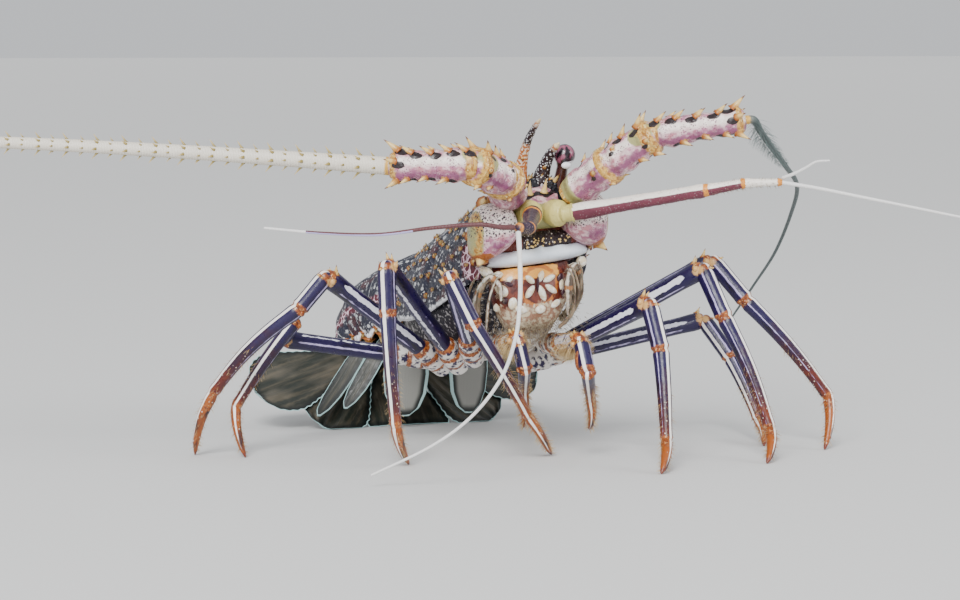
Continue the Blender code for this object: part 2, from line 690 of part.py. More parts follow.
ANTENNA_JOINTS = {
    "L": ((14.5, -58, 112), (24.5, -75, 124.9), (38, -88, 137), (70.2, -104.5, 143)),
    "R": ((-14.5, -58, 111), (-24, -74, 119.4), (-42.7, -86, 125.6), (-70.5, -69.5, 125)),
}
ANTENNA_RADII = {
    "L": ((7.6, 8.2), (7.6, 7.2), (6.6, 5.2)),
    "R": ((7.6, 8.4), (8.0, 7.6), (7.2, 6.0)),
}
ANTENNA_WHIPS = {
    "L": ((70.9, -104.85, 143.1), (75, -105.2, 142.9), (81, -99, 138.5), (92, -86, 132.5), (115, -58, 121.5),
          (138.7, -24.4, 111), (157.7, 16.5, 96), (174.5, 63.6, 74.5), (188, 112, 54), (198.4, 156, 33.6)),
    "R": ((-71, -69.2, 125), (-110, -53, 128), (-160, -33, 131.5), (-217.5, -10, 134.6), (-280, 24, 136),
          (-325, 68, 133), (-352, 122, 127), (-366, 180, 119)),
}
WHIP_DIAMETERS = {"L": (3.8, 1.0), "R": (7.6, 2.2)}

ANTENNULE_JOINTS = {
    "L": ((10.5, -67.5, 104.4), (54.9, -103.7, 114.6), (67.9, -111.2, 117.5), (81.6, -116.6, 117.9)),
    "R": ((-9.5, -70.5, 103.6), (-30, -115.8, 101.7), (-37, -122, 102.3)),
}
ANTENNULE_RADII = {"L": (3.8, 2.7, 2.0, 1.5), "R": (3.6, 2.6, 1.9)}
ANTENNULE_WHIPS = {
    "antennule_outer_L": (((82.1, -117.1, 117.7), (94, -123.8, 115.6), (112, -133.3, 111.6), (130, -142.7, 107.6),
                           (145.5, -151, 104.1), (156, -156, 102)), (1.8, 0.9), 9),
    "antennule_inner_L": (((83.1, -115.6, 119.6), (86, -120, 121.5), (89.1, -124, 124), (92, -127.5, 126.5),
                           (95.8, -131, 127)), (1.6, 0.9), 7),
    "antennule_outer_R": (((-37.8, -123.6, 100.6), (-39.8, -130, 90), (-41.4, -133.9, 75), (-43.9, -135, 59.6),
                           (-49.3, -132.8, 43.9), (-59.4, -126.6, 28.8), (-72.5, -117, 16.8), (-92.3, -104.7, 5.1)),
                          (2.1, 1.0), 18),
    "antennule_inner_R": (((-39.6, -122.6, 102.6), (-46, -124.5, 103), (-56, -125.5, 104.3), (-75, -124.5, 103.3),
                           (-94.6, -119, 101), (-114, -106.5, 101.3), (-132, -93, 102.8)), (2.3, 1.0), 12),
}


def build_lobster():
    """Make every part, largest first, and cut each where it meets one made before it."""
    shell = build_shell()
    sternum = build_sternum()
    epistome = build_epistome()
    plate = build_face_plate()
    mouth = build_mouth()
    carve(mouth, sternum, shell)
    abdomen = build_abdomen()
    build_fan()
    carve(abdomen[0], shell, sternum)

    bases = {}
    for label, side in (("L", 1), ("R", -1)):
        maxilliped = build_maxilliped(f"maxilliped_{label}", side)
        carve(maxilliped, mouth, sternum, shell, epistome)
        base = build_antenna_base(f"antenna_base_{label}", side)
        carve(base, epistome, shell)
        bases[label] = base
        peduncle = build_peduncle(label, side, ANTENNA_JOINTS[label], ANTENNA_RADII[label])
        antennule = build_antennule(f"antennule_{label}", side, ANTENNULE_JOINTS[label], ANTENNULE_RADII[label])
        carve(antennule, base)
        carve(peduncle[0], base, plate, shell, antennule)
        build_flagellum([f"antenna_whip_{label}_1", f"antenna_whip_{label}_2"], ANTENNA_WHIPS[label],
                        WHIP_DIAMETERS[label], 28)
        eye = build_eye(f"eye_{label}", *EYES[label])
        carve(eye, shell, plate, peduncle[0])
    for name, (points, diameters, count) in ANTENNULE_WHIPS.items():
        build_flagellum([name], points, diameters, count)
    horn_right = build_horn("horn_R", (-5.6, -47.5, 115), (-8, -76, 143.6), 2.9)
    horn_left = build_horn("horn_L", (4.2, -47.5, 116.5), (6.8, -61, 133), 2.9)
    carve(horn_right, shell)
    carve(horn_left, shell)
    for label, (base, knee, wrist, ankle, tip, scale, bow, foot) in LEGS.items():
        upper, _ = build_leg(label, base, knee, wrist, ankle, tip, scale, bow, foot)
        carve(upper, sternum, shell)


for leftover in list(bpy.data.objects):
    bpy.data.objects.remove(leftover)
body = bpy.data.objects.new("lobster", None)
body.location = Vector(BODY_SHIFT) * MILLIMETRE
bpy.context.scene.collection.objects.link(body)
LOBSTER.append(body)
build_lobster()
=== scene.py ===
"""Looks of a life-size spiny lobster model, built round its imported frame.

Lengths are millimetres in the body's own frame: it faces -Y, its left side is +X, the floor is z = 0.
Each surface carries marks: signed distances in millimetres to the edge of a marking, positive inside it.
The materials paint the markings from these marks, with edges that wander a little.
"""

import math

import bpy
import numpy as np
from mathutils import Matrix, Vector


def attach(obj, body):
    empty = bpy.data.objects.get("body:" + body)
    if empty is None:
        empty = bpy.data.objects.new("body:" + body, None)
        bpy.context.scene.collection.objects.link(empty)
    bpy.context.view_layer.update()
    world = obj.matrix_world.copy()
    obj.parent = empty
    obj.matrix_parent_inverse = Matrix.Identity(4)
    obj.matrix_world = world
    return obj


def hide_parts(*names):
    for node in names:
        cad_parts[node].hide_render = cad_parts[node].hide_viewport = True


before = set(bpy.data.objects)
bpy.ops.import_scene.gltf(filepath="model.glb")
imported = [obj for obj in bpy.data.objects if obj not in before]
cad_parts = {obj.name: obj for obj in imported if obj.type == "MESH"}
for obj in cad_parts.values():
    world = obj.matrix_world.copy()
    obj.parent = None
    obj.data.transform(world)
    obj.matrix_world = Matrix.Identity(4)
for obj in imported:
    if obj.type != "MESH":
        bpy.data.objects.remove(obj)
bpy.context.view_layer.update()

MILLIMETRE = 0.001
BODY_SHIFT = np.array((84.0, -12.0, 0.0))
BODY = "root"
NO_MARK = -9.0
DRAW = np.random.RandomState(7)
HAIR_PATCH = 0.003
MARKS_OF = {}
DOME_ANGLES = np.radians((84, 62, 40, 20))
SPINE_PROFILE = ((0.0, 1.5), (0.1, 1.08), (0.28, 0.8), (0.52, 0.52), (0.78, 0.27), (0.94, 0.11), (1.0, 0.02))
HAIR_PROFILE = ((0.0, 1.0), (0.4, 0.75), (0.75, 0.45), (1.0, 0.08))


# Vectors and curves


def unit(vector):
    """A vector, or each of several, at length one."""
    vector = np.asarray(vector, float)
    return vector / np.maximum(np.linalg.norm(vector, axis=-1, keepdims=True), 1e-9)


def smooth_route(points, count):
    """Evenly counted points on a smooth curve through the given ones, which may be rows of any table."""
    knots = np.asarray(points, float)
    knots = np.vstack((knots[0] * 2 - knots[1], knots, knots[-1] * 2 - knots[-2]))
    spans = len(knots) - 3
    place = np.linspace(0, spans, count)
    span = np.minimum(place.astype(int), spans - 1)
    t = (place - span)[:, None]
    a, b, c, d = (knots[span + step] for step in range(4))
    square = 2 * a - 5 * b + 4 * c - d
    cube = 3 * b - a - 3 * c + d
    return 0.5 * (2 * b + (c - a) * t + square * t ** 2 + cube * t ** 3)


def read_curve(pairs, values):
    """A value for each of values from pairs of (place, value), straight between them."""
    places, sizes = zip(*pairs)
    return np.interp(values, places, sizes)


def full_turn(count):
    """Evenly counted angles once round, in radians."""
    return np.linspace(0, 2 * math.pi, count, endpoint=False)


def squared(values, power):
    """Sines or cosines raised to a power with their signs kept, which squares off a round section."""
    return np.copysign(np.abs(values) ** power, values)


def leaning(x, y, z):
    """Places on the head, which leans to its right, from their upright places."""
    return np.stack(np.broadcast_arrays(x, y, z + x * HEAD_TILT), -1)


def turned(vector, start, end):
    """A vector carried through the least turn from one direction to another."""
    turn = Vector(start).rotation_difference(Vector(end))
    return np.array(turn @ Vector(vector))


# Meshes with marks


class Shape:
    """The joined meshes of one piece, in millimetres, with the marks that materials read."""

    def __init__(self):
        self.corners = []
        self.quads = []
        self.triangles = []
        self.finishes = {4: [], 3: []}
        self.marks = []
        self.patches = []
        self.count = 0

    def add(self, corners, quads=(), triangles=(), finish=0, marks=None, place=None, patch=None):
        """Join a block of corners and faces to the piece."""
        corners = np.asarray(corners, float).reshape(-1, 3)
        for faces, held, width in ((quads, self.quads, 4), (triangles, self.triangles, 3)):
            if len(faces):
                held.append(np.asarray(faces, int).reshape(-1, width) + self.count)
                self.finishes[width].append(np.full(len(held[-1]), finish))
        values = {name: np.broadcast_to(value, len(corners)) if np.ndim(value) < 2 else np.ravel(value)
                  for name, value in (marks or {}).items()}
        self.marks.append((len(corners), values, corners if place is None else np.reshape(place, (-1, 3))))
        self.patches.append(np.zeros((len(corners), 2)) if patch is None else patch)
        self.corners.append(corners)
        self.count += len(corners)

    def make(self, name, materials, nodes, patched=False):
        """Turn the joined meshes into one piece of the model that rides its body and stands for CAD nodes."""
        materials = materials if isinstance(materials, (list, tuple)) else [materials]
        corners = (np.vstack(self.corners) + BODY_SHIFT) * MILLIMETRE
        mesh = bpy.data.meshes.new(name)
        quads = np.vstack(self.quads) if self.quads else np.zeros((0, 4), int)
        triangles = np.vstack(self.triangles) if self.triangles else np.zeros((0, 3), int)
        loops = np.concatenate((quads.ravel(), triangles.ravel()))
        starts = np.concatenate((np.arange(len(quads)) * 4, len(quads) * 4 + np.arange(len(triangles)) * 3))
        finishes = np.concatenate([*self.finishes[4], *self.finishes[3]])
        mesh.vertices.add(len(corners))
        mesh.vertices.foreach_set("co", corners.astype(np.float32).ravel())
        mesh.loops.add(len(loops))
        mesh.loops.foreach_set("vertex_index", loops.astype(np.int32))
        mesh.polygons.add(len(starts))
        mesh.polygons.foreach_set("loop_start", starts.astype(np.int32))
        mesh.polygons.foreach_set("material_index", finishes.astype(np.int32))
        mesh.update(calc_edges=True)
        mesh.validate()
        mesh.shade_smooth()
        self.write_marks(mesh, materials)
        if patched:
            layer = mesh.uv_layers.new(name="OFBake")
            layer.uv.foreach_set("vector", np.vstack(self.patches)[loops].astype(np.float32).ravel())
        for material in materials:
            mesh.materials.append(material)
        piece = bpy.data.objects.new(name, mesh)
        bpy.context.scene.collection.objects.link(piece)
        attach(piece, BODY)
        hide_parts(*nodes)
        return piece

    def write_marks(self, mesh, materials):
        """Store the place and the marks of each corner as attributes of the mesh."""
        names = sorted(set().union(*(MARKS_OF[material.name] for material in materials)))
        place = mesh.attributes.new("place", "FLOAT_VECTOR", "POINT")
        place.data.foreach_set("vector", np.vstack([m[2] for m in self.marks]).astype(np.float32).ravel())
        for name in names:
            parts = [values.get(name, np.full(count, NO_MARK)) for count, values, _ in self.marks]
            layer = mesh.attributes.new(name, "FLOAT", "POINT")
            layer.data.foreach_set("value", np.concatenate(parts).astype(np.float32))


def grid_faces(rows, columns, closed):
    """Quads between neighbouring rows and columns of a grid of corners, closed round its columns or not."""
    row = np.arange(rows - 1)[:, None]
    column = np.arange(columns if closed else columns - 1)[None, :]
    beside = (column + 1) % columns
    first = row * columns + column
    second = row * columns + beside
    return np.stack((first, second, second + columns, first + columns), -1).reshape(-1, 4)


def cap_faces(rows, columns, start, end):
    """Triangles from the first and last rings of a closed grid to one corner each."""
    ring = np.arange(columns)
    beside = (ring + 1) % columns
    last = (rows - 1) * columns
    first = np.stack((beside, ring, np.full(columns, start)), -1)
    second = np.stack((ring + last, beside + last, np.full(columns, end)), -1)
    return np.vstack((first, second))


def add_closed(shape, grid, marks, place=None, finish=0):
    """Join a closed loft: rings of corners with a middle corner at each end."""
    rows, columns = grid.shape[:2]
    corners = np.vstack((grid.reshape(-1, 3), grid[0].mean(0), grid[-1].mean(0)))
    full = {}
    for name, value in marks.items():
        value = np.broadcast_to(value, (rows, columns)).astype(float)
        full[name] = np.concatenate((value.ravel(), (value[0].mean(), value[-1].mean())))
    if place is not None:
        place = np.vstack((place.reshape(-1, 3), place[0].mean(0), place[-1].mean(0)))
    count = rows * columns
    shape.add(corners, grid_faces(rows, columns, True), cap_faces(rows, columns, count, count + 1),
              finish, full, place)


class Limb:
    """A tube along a route, with domed ends, that knows where each of its corners lies."""

    def __init__(self, route, wide, high=None, up=(0, 0, 1), sides=26, domes=(0.5, 0.5), power=2.0):
        route = np.asarray(route, float)
        wide = np.broadcast_to(np.asarray(wide, float), len(route))
        high = wide if high is None else np.broadcast_to(np.asarray(high, float), len(route))
        heading = unit(np.gradient(route, axis=0))
        tops = [unit(np.asarray(up, float) - heading[0] * np.dot(up, heading[0]))]
        for before, after in zip(heading[:-1], heading[1:]):
            tops.append(turned(tops[-1], before, after))
        tops = unit(np.array(tops))
        run = np.concatenate(([0], np.cumsum(np.linalg.norm(np.diff(route, axis=0), axis=1))))
        self.length = run[-1]
        ends = []
        for end, sign, bulge in ((0, -1, domes[0]), (-1, 1, domes[1])):
            steps = DOME_ANGLES[::-sign]
            reach = sign * bulge * (wide[end] + high[end]) / 2
            ends.append((
                route[end] + heading[end] * reach * np.sin(steps)[:, None],
                run[end] + reach * np.sin(steps),
                wide[end] * np.cos(steps),
                high[end] * np.cos(steps),
                np.repeat(heading[end][None], len(steps), 0),
                np.repeat(tops[end][None], len(steps), 0),
            ))
        body = (route, run, wide, high, heading, tops)
        joined = [np.concatenate(parts) for parts in zip(ends[0], body, ends[1])]
        self.route, self.run, self.wide, self.high, self.heading, self.tops = joined
        self.sides_out = np.cross(self.heading, self.tops)
        self.degrees = np.linspace(-180, 180, sides, endpoint=False)
        self.size = (len(self.run), sides)
        turn = np.radians(self.degrees)
        self.across = squared(np.sin(turn), 2 / power)
        self.above = squared(np.cos(turn), 2 / power)

    def grid(self, lift):
        """Rings of corners, each lifted off the surface by its own amount or by one for all."""
        across = self.across[None, :] * (self.wide[:, None] + lift)
        above = self.above[None, :] * (self.high[:, None] + lift)
        return (self.route[:, None] + self.sides_out[:, None] * across[..., None]
                + self.tops[:, None] * above[..., None])

    def place(self):
        """Straightened places of the corners, so that a pattern follows the limb."""
        across = self.across[None, :] * self.wide[:, None]
        above = self.above[None, :] * self.high[:, None]
        return np.stack((self.along(self.run), across, above), -1)

    def spot(self, run, degrees):
        """A point on the surface, with the outward and the forward direction there."""
        at = min(len(self.run) - 1, max(0, int(np.searchsorted(self.run, run))))
        before = max(0, at - 1)
        span = self.run[at] - self.run[before]
        share = 0.0 if span == 0 else (run - self.run[before]) / span
        centre = self.route[before] + (self.route[at] - self.route[before]) * min(1, max(0, share))
        turn = math.radians(degrees)
        across = self.sides_out[at] * math.sin(turn) * self.wide[at]
        out = across + self.tops[at] * math.cos(turn) * self.high[at]
        return centre + out, unit(out), self.heading[at]

    def all(self, value):
        """One value all over the limb."""
        return np.full(self.size, value)

    def along(self, values):
        """Values that change only along the limb."""
        return np.broadcast_to(values[:, None], self.size)

    def thick(self, share):
        """A share of the limb's own thickness along it."""
        return share * (self.wide + self.high)

    def around(self, degrees):
        """Distances round the limb from an angle."""
        away = np.abs((self.degrees - degrees + 180) % 360 - 180)
        return np.radians(away)[None, :] * ((self.wide + self.high) / 2)[:, None]

    def stripe(self, degrees, half):
        """Marks of a lengthwise stripe at an angle from the top, of a half width along the limb."""
        return np.broadcast_to(half, len(self.run))[:, None] - self.around(degrees)

    def stripes(self, degrees, first, second):
        """Marks of two stripes at an angle either way from the top, of their own half widths."""
        return np.maximum(self.stripe(degrees, first), self.stripe(-degrees, second))

    def band(self, centre, half):
        """Marks of a band round the limb."""
        return self.along(half - np.abs(self.run - centre))

    def bands(self, *sizes):
        """Marks of several bands, from pairs of a centre and a half width."""
        return np.maximum.reduce([self.band(*size) for size in sizes])

    def oval(self, run, degrees, half_long, half_round):
        """Marks of an oval blotch on the limb."""
        far = np.hypot((self.run - run)[:, None] / half_long, self.around(degrees) / half_round)
        return (1 - far) * min(half_long, half_round)

    def ovals(self, run, degrees, *halves):
        """Marks of two blotches at an angle either way from the top."""
        return np.maximum(self.oval(run, degrees, *halves), self.oval(run, -degrees, *halves))


def add_limb(shape, limb, marks, lift=0.0):
    """Join a limb to a piece, with its straightened places."""
    add_closed(shape, limb.grid(lift), marks, limb.place())


def cone(root, direction, droop, length, profile, radius, lean, sides):
    """Rings of a thin cone that bends by its droop, and the share of its length at each ring."""
    shares, widths = np.array(profile).T
    bend = np.asarray(droop) * (shares ** 2 * length)[:, None]
    route = root + direction * (shares * length)[:, None] + bend
    side = unit(np.cross(direction, lean))
    over = np.cross(direction, side)
    turn = full_turn(sides)
    ring = side * np.cos(turn)[:, None] + over * np.sin(turn)[:, None]
    return route[:, None] + ring[None] * (widths * radius)[:, None, None], shares


def add_spine(shape, root, direction, length, radius, hook=(0, 0, 0), finish=0, sides=9, marks=None):
    """Join a curved sharp spine with a flared foot, sunk a little into what it grows from."""
    direction = unit(direction)
    sunk = np.asarray(root, float) - direction * 0.12 * length
    grid, shares = cone(sunk, direction, hook, length, SPINE_PROFILE, radius, (0.31, 0.52, 0.79), sides)
    add_closed(shape, grid, {"tip": shares[:, None], **(marks or {})}, finish=finish)


def add_ball(shape, centre, radii, marks):
    """Join an egg-shaped knob."""
    rows, columns = 9, 14
    lift = np.linspace(-84, 84, rows) * math.pi / 180
    turn = full_turn(columns)
    local = np.stack((
        np.cos(lift)[:, None] * np.cos(turn) * radii[0],
        np.cos(lift)[:, None] * np.sin(turn) * radii[1],
        np.broadcast_to(np.sin(lift)[:, None] * radii[2], (rows, columns)),
    ), -1)
    add_closed(shape, np.asarray(centre) + local, marks)


def add_hair(shape, root, direction, length, radius, droop, patch):
    """Join one bristle: a thin curved cone, with its patch on the coat's own map."""
    sides = 3
    grid, shares = cone(root, unit(direction), droop, length, HAIR_PROFILE, radius, (0.37, 0.61, 0.70), sides)
    rows = len(shares)
    uv = np.empty((rows, sides, 2))
    uv[..., 0] = patch[0] + HAIR_PATCH * (np.arange(sides) / sides)[None, :]
    uv[..., 1] = patch[1] + HAIR_PATCH * shares[:, None]
    tip = np.broadcast_to(shares[:, None], (rows, sides))
    shape.add(grid, grid_faces(rows, sides, True), marks={"tip": tip}, patch=uv.reshape(-1, 2))


def limb_patch(share, degrees):
    """The place of a bristle on its coat's map, from its share of the limb and its turn round it."""
    return 0.01 + 0.97 * share, 0.01 + 0.97 * ((degrees + 180) % 360) / 360


def add_limb_hair(shape, limb, run, degrees, lean, length, radius, droop, span):
    """Join a bristle at a place on a limb, leaning forward, with its patch from its share of a span."""
    point, out, ahead = limb.spot(run, degrees)
    add_hair(shape, point, out + ahead * lean, length, radius, droop, limb_patch(run / span, degrees))


# Materials


class Paint:
    """A material under construction: a colour built up from patterns and the marks of its surface."""

    def __init__(self, name):
        self.material = bpy.data.materials.new(name)
        self.material.use_nodes = True
        self.tree = self.material.node_tree
        self.shader = self.tree.nodes["Principled BSDF"]
        self.read = {}
        self.colour = None
        MARKS_OF[self.material.name] = set()

    def node(self, kind, **settings):
        """A new node with its settings."""
        made = self.tree.nodes.new(kind)
        for name, value in settings.items():
            setattr(made, name, value)
        return made

    def feed(self, node, **values):
        """Link a node's inputs to values, or set the values on them; an underscore stands for a space."""
        for name, value in values.items():
            self.feed_socket(node.inputs[name.replace("_", " ")], value)

    def feed_socket(self, socket, value):
        """Link a socket to a value, or set the value on it."""
        if isinstance(value, bpy.types.NodeSocket):
            self.tree.links.new(value, socket)
        elif isinstance(value, (tuple, list)) and socket.type == "RGBA":
            socket.default_value = (*value, 1.0)
        else:
            socket.default_value = value

    def attribute(self, name):
        """The node that reads an attribute of the mesh."""
        if name not in self.read:
            self.read[name] = self.node("ShaderNodeAttribute", attribute_name=name)
        return self.read[name]

    def mark(self, name):
        """The value of a mark."""
        MARKS_OF[self.material.name].add(name)
        return self.attribute(name).outputs["Fac"]

    def place(self, stretch=(1.0, 1.0, 1.0), shift=0.0):
        """The straightened place in millimetres, stretched."""
        move = self.node("ShaderNodeMapping")
        self.feed(move, Vector=self.attribute("place").outputs["Vector"], Scale=stretch,
                  Location=(shift, shift * 0.7, shift * 0.3))
        return move.outputs["Vector"]

    def noise(self, size, detail=2.0, stretch=(1.0, 1.0, 1.0), shift=0.0, distort=0.0):
        """Smooth noise with features about a size in millimetres."""
        made = self.node("ShaderNodeTexNoise")
        self.feed(made, Vector=self.place(stretch, shift), Scale=1 / size, Detail=detail, Roughness=0.5,
                  Distortion=distort)
        return made.outputs["Fac"]

    def clouds(self, low, high, size, detail=2.0, stretch=(1.0, 1.0, 1.0), shift=0.0, distort=0.0):
        """Noise cut to patches: 0 where it is below low, and 1 above high."""
        return self.within(self.noise(size, detail, stretch, shift, distort), low, high)

    def cells(self, size, stretch=(1.0, 1.0, 1.0), shift=0.0, warp=0.0, feature="F1"):
        """Distance from the middles of cells about a size in millimetres, from 0 to about 1."""
        made = self.node("ShaderNodeTexVoronoi", feature=feature)
        where = self.place(stretch, shift)
        if warp:
            bend = self.node("ShaderNodeTexNoise")
            self.feed(bend, Vector=self.place(stretch, shift + 3.1), Scale=0.8 / size)
            shift_by = self.node("ShaderNodeVectorMath", operation="MULTIPLY_ADD")
            for socket, value in zip(shift_by.inputs, (bend.outputs["Color"], (warp, warp, warp), where)):
                self.feed_socket(socket, value)
            where = shift_by.outputs["Vector"]
        self.feed(made, Vector=where, Scale=1 / size, Randomness=1.0)
        return made.outputs["Distance"]

    def rings(self, scale, distort=0.0):
        """Fine waves along a limb."""
        wave = self.node("ShaderNodeTexWave", wave_type="BANDS", bands_direction="X")
        self.feed(wave, Vector=self.place(), Scale=scale, Distortion=distort)
        return wave.outputs["Fac"]

    def math(self, operation, first, second=0.0, third=0.0):
        """One step of arithmetic on two or three values."""
        made = self.node("ShaderNodeMath", operation=operation)
        for socket, value in zip(made.inputs, (first, second, third)):
            self.feed_socket(socket, value)
        return made.outputs[0]

    def times(self, first, second):
        """A product of two values."""
        return self.math("MULTIPLY", first, second)

    def within(self, value, low, high):
        """0 below low, 1 above high, and smooth between."""
        made = self.node("ShaderNodeMapRange", interpolation_type="SMOOTHSTEP")
        self.feed(made, Value=value, From_Min=low, From_Max=high)
        return made.outputs["Result"]

    def mix(self, share, first, second):
        """A colour between two."""
        made = self.node("ShaderNodeMix", data_type="RGBA")
        for place, value in ((0, share), (6, first), (7, second)):
            self.feed_socket(made.inputs[place], value)
        return made.outputs[2]

    def base(self, share, first, second):
        """Start the colour as a mix of two."""
        self.colour = self.mix(share, first, second)

    def over(self, share, colour):
        """Paint a colour over a share of the surface."""
        self.colour = self.mix(share, self.colour, colour)

    def layer(self, mark, colour, jag=0.3, size=1.2, soft=0.14, stretch=(1.0, 1.0, 1.0), shift=0.0):
        """Paint a marking; its edge wanders by the jag."""
        sway = self.math("MULTIPLY_ADD", self.noise(size, 3.0, stretch, shift), 4 * jag, -2 * jag)
        self.over(self.within(self.math("ADD", self.mark(mark), sway), -soft, soft), colour)

    def dots(self, size, radius, shift=0.0, warp=0.0, some=None):
        """Small dots of a radius among cells of a size; some is a noise size that leaves stretches bare."""
        spots = self.within(self.cells(size, shift=shift, warp=warp), radius * 1.25, radius * 0.8)
        if some:
            spots = self.times(spots, self.clouds(0.42, 0.55, some, shift=shift + 5))
        return spots

    def tip(self, size, detail, sway, start=0.0):
        """The mark of the share of a spine or bristle towards its tip, swayed by noise."""
        noise = self.noise(size, detail)
        swayed = self.math("MULTIPLY_ADD", noise, sway, start) if start else self.times(noise, sway)
        return self.math("ADD", self.mark("tip"), swayed)

    def bump(self, *heights):
        """Raise the surface by pairs of a height from 0 to 1 and its depth in millimetres."""
        normal = None
        for height, depth in heights:
            made = self.node("ShaderNodeBump")
            self.feed(made, Height=height, Distance=depth * MILLIMETRE)
            if normal is not None:
                self.feed(made, Normal=normal)
            normal = made.outputs["Normal"]
        self.feed(self.shader, Normal=normal)

    def finish(self, roughness=0.4, spread=0.12, coat=0.0):
        """Set the shader: the colour, and a roughness that varies a little."""
        rough = self.node("ShaderNodeMapRange")
        self.feed(rough, Value=self.noise(2.0, 3.0, shift=9.0), From_Min=0.3, From_Max=0.7,
                  To_Min=max(0.05, roughness - spread), To_Max=roughness + spread)
        self.feed(self.shader, Base_Color=self.colour, Roughness=rough.outputs["Result"],
                  Specular_IOR_Level=0.5)
        if coat:
            self.feed(self.shader, Coat_Weight=coat, Coat_Roughness=0.18)
        return self.material


INK = (0.006, 0.006, 0.012)
INDIGO = (0.010, 0.004, 0.050)
RUST = (0.36, 0.10, 0.016)
AMBER = (0.50, 0.19, 0.03)
GOLD = (0.72, 0.42, 0.08)
WHITE = (0.86, 0.87, 0.9)
LILAC = (0.50, 0.44, 0.72)
OLIVE = (0.36, 0.34, 0.14)


def shell_paint():
    """Black-blue shell, thick with grey-white flecks and curls, orange at the feet of its spines."""
    paint = Paint("flecked_shell")
    paint.base(paint.noise(6.0, 3.0), INK, (0.018, 0.02, 0.045))
    paint.over(paint.clouds(0.55, 0.7, 9.0, shift=4.0), (0.05, 0.012, 0.018))
    curls = paint.within(paint.cells(1.9, (0.75, 0.62, 0.75), warp=1.5), 0.40, 0.30)
    curls = paint.times(curls, paint.clouds(0.40, 0.56, 5.0, shift=7.0))
    rings = paint.within(paint.cells(1.5, (0.8, 0.6, 0.8), shift=2.0, warp=2.2), 0.22, 0.13)
    grey = paint.mix(paint.noise(1.4, shift=1.0), (0.20, 0.21, 0.24), (0.72, 0.72, 0.72))
    paint.over(paint.math("MAXIMUM", curls, rings), grey)
    paint.layer("maroon", (0.09, 0.008, 0.02), 0.8, 2.5, 0.4)
    lace = paint.within(paint.cells(3.0, shift=6.0, warp=1.6, feature="DISTANCE_TO_EDGE"), 0.10, 0.04)
    paint.over(paint.times(lace, paint.within(paint.mark("maroon"), -0.5, 0.6)), (0.72, 0.50, 0.58))
    paint.layer("white", WHITE, 0.5, 2.2, 0.2)
    paint.layer("amber", (0.26, 0.11, 0.03), 0.35, 1.2, 0.3)
    paint.layer("dark", INK, 0.2, 1.2, 0.3)
    granules = paint.within(paint.cells(1.7, warp=0.6), 0.65, 0.1)
    paint.bump((granules, 0.35), (paint.noise(0.7, 3.0), 0.18))
    return paint.finish(0.42, 0.14)


def spine_paint():
    """Spines: amber at the foot, cream along the shaft and brown at the very tip."""
    paint = Paint("spine")
    tip = paint.tip(1.0, 2.0, 0.16)
    paint.base(paint.within(tip, 0.12, 0.34), (0.34, 0.10, 0.016), (0.50, 0.24, 0.045))
    paint.over(paint.within(tip, 0.3, 0.55), (0.74, 0.52, 0.20))
    paint.over(paint.within(tip, 0.80, 0.96), (0.16, 0.06, 0.02))
    paint.bump((paint.noise(0.5, 2.0, (0.3, 1, 1)), 0.08))
    return paint.finish(0.34, 0.1)


def face_white_paint():
    """The smooth bluish-white bar over the mouth."""
    paint = Paint("face_white")
    paint.base(paint.noise(7.0), (0.62, 0.70, 0.80), (0.84, 0.88, 0.92))
    paint.layer("maroon", (0.06, 0.006, 0.008), 0.5, 2.0, 0.3)
    paint.layer("amber", AMBER, 0.4, 1.5, 0.3)
    paint.bump((paint.noise(2.0), 0.10))
    return paint.finish(0.3, 0.08)


def ledge_paint():
    """The black granular ledge with white specks over the white bar."""
    paint = Paint("face_ledge")
    paint.base(paint.noise(2.0), INK, (0.035, 0.012, 0.012))
    paint.over(paint.dots(1.5, 0.24, some=4.0), (0.68, 0.62, 0.58))
    paint.layer("maroon", (0.13, 0.018, 0.008), 0.6, 2.0, 0.5)
    granules = paint.within(paint.cells(0.95), 0.6, 0.15)
    paint.bump((granules, 0.4))
    return paint.finish(0.42, 0.15)


def peduncle_paint():
    """Pink-lilac antenna stems with purple specks, a painted white highlight along each stem, black blotches
    and golden joints.
    """
    paint = Paint("antenna_stem")
    paint.base(paint.clouds(0.36, 0.64, 6.0, 3.0), (0.50, 0.20, 0.23), (0.41, 0.15, 0.25))
    paint.over(paint.clouds(0.42, 0.62, 1.8, 4.0, (0.6, 1, 1), 3.0), (0.74, 0.52, 0.54))
    paint.layer("plum", (0.25, 0.07, 0.15), 1.3, 2.0, 1.6)
    # White: on the antenna stems, a painted highlight, a stripe along the side turned towards the camera; on
    # the base block, it covers the upper face.
    paint.layer("white", (0.86, 0.76, 0.70), 0.9, 3.0, 1.2)
    specks = paint.dots(0.8, 0.34, some=3.0, warp=0.3)
    paint.over(paint.times(specks, 0.85), (0.20, 0.04, 0.11))
    paint.layer("olive", OLIVE, 0.4, 2.0, 0.35)
    gold = paint.mix(paint.clouds(0.36, 0.62, 1.5, 3.0, shift=8.0), (0.34, 0.14, 0.02), (0.64, 0.38, 0.08))
    gold = paint.mix(paint.clouds(0.58, 0.70, 1.1, shift=11.0), gold, (0.74, 0.60, 0.28))
    paint.layer("amber", gold, 0.8, 1.8, 0.6)
    paint.layer("rust", RUST, 0.6, 1.6, 0.4)
    paint.layer("dark", (0.012, 0.004, 0.006), 0.22, 1.5, 0.12)
    pores = paint.times(paint.dots(1.25, 0.34, shift=4.0), paint.within(paint.mark("pores"), -0.2, 0.6))
    paint.over(pores, (0.02, 0.01, 0.02))
    paint.bump((paint.noise(1.1, 3.0), 0.22), (specks, -0.08), (paint.noise(3.4, shift=2.0), 0.35))
    return paint.finish(0.36, 0.12, 0.15)


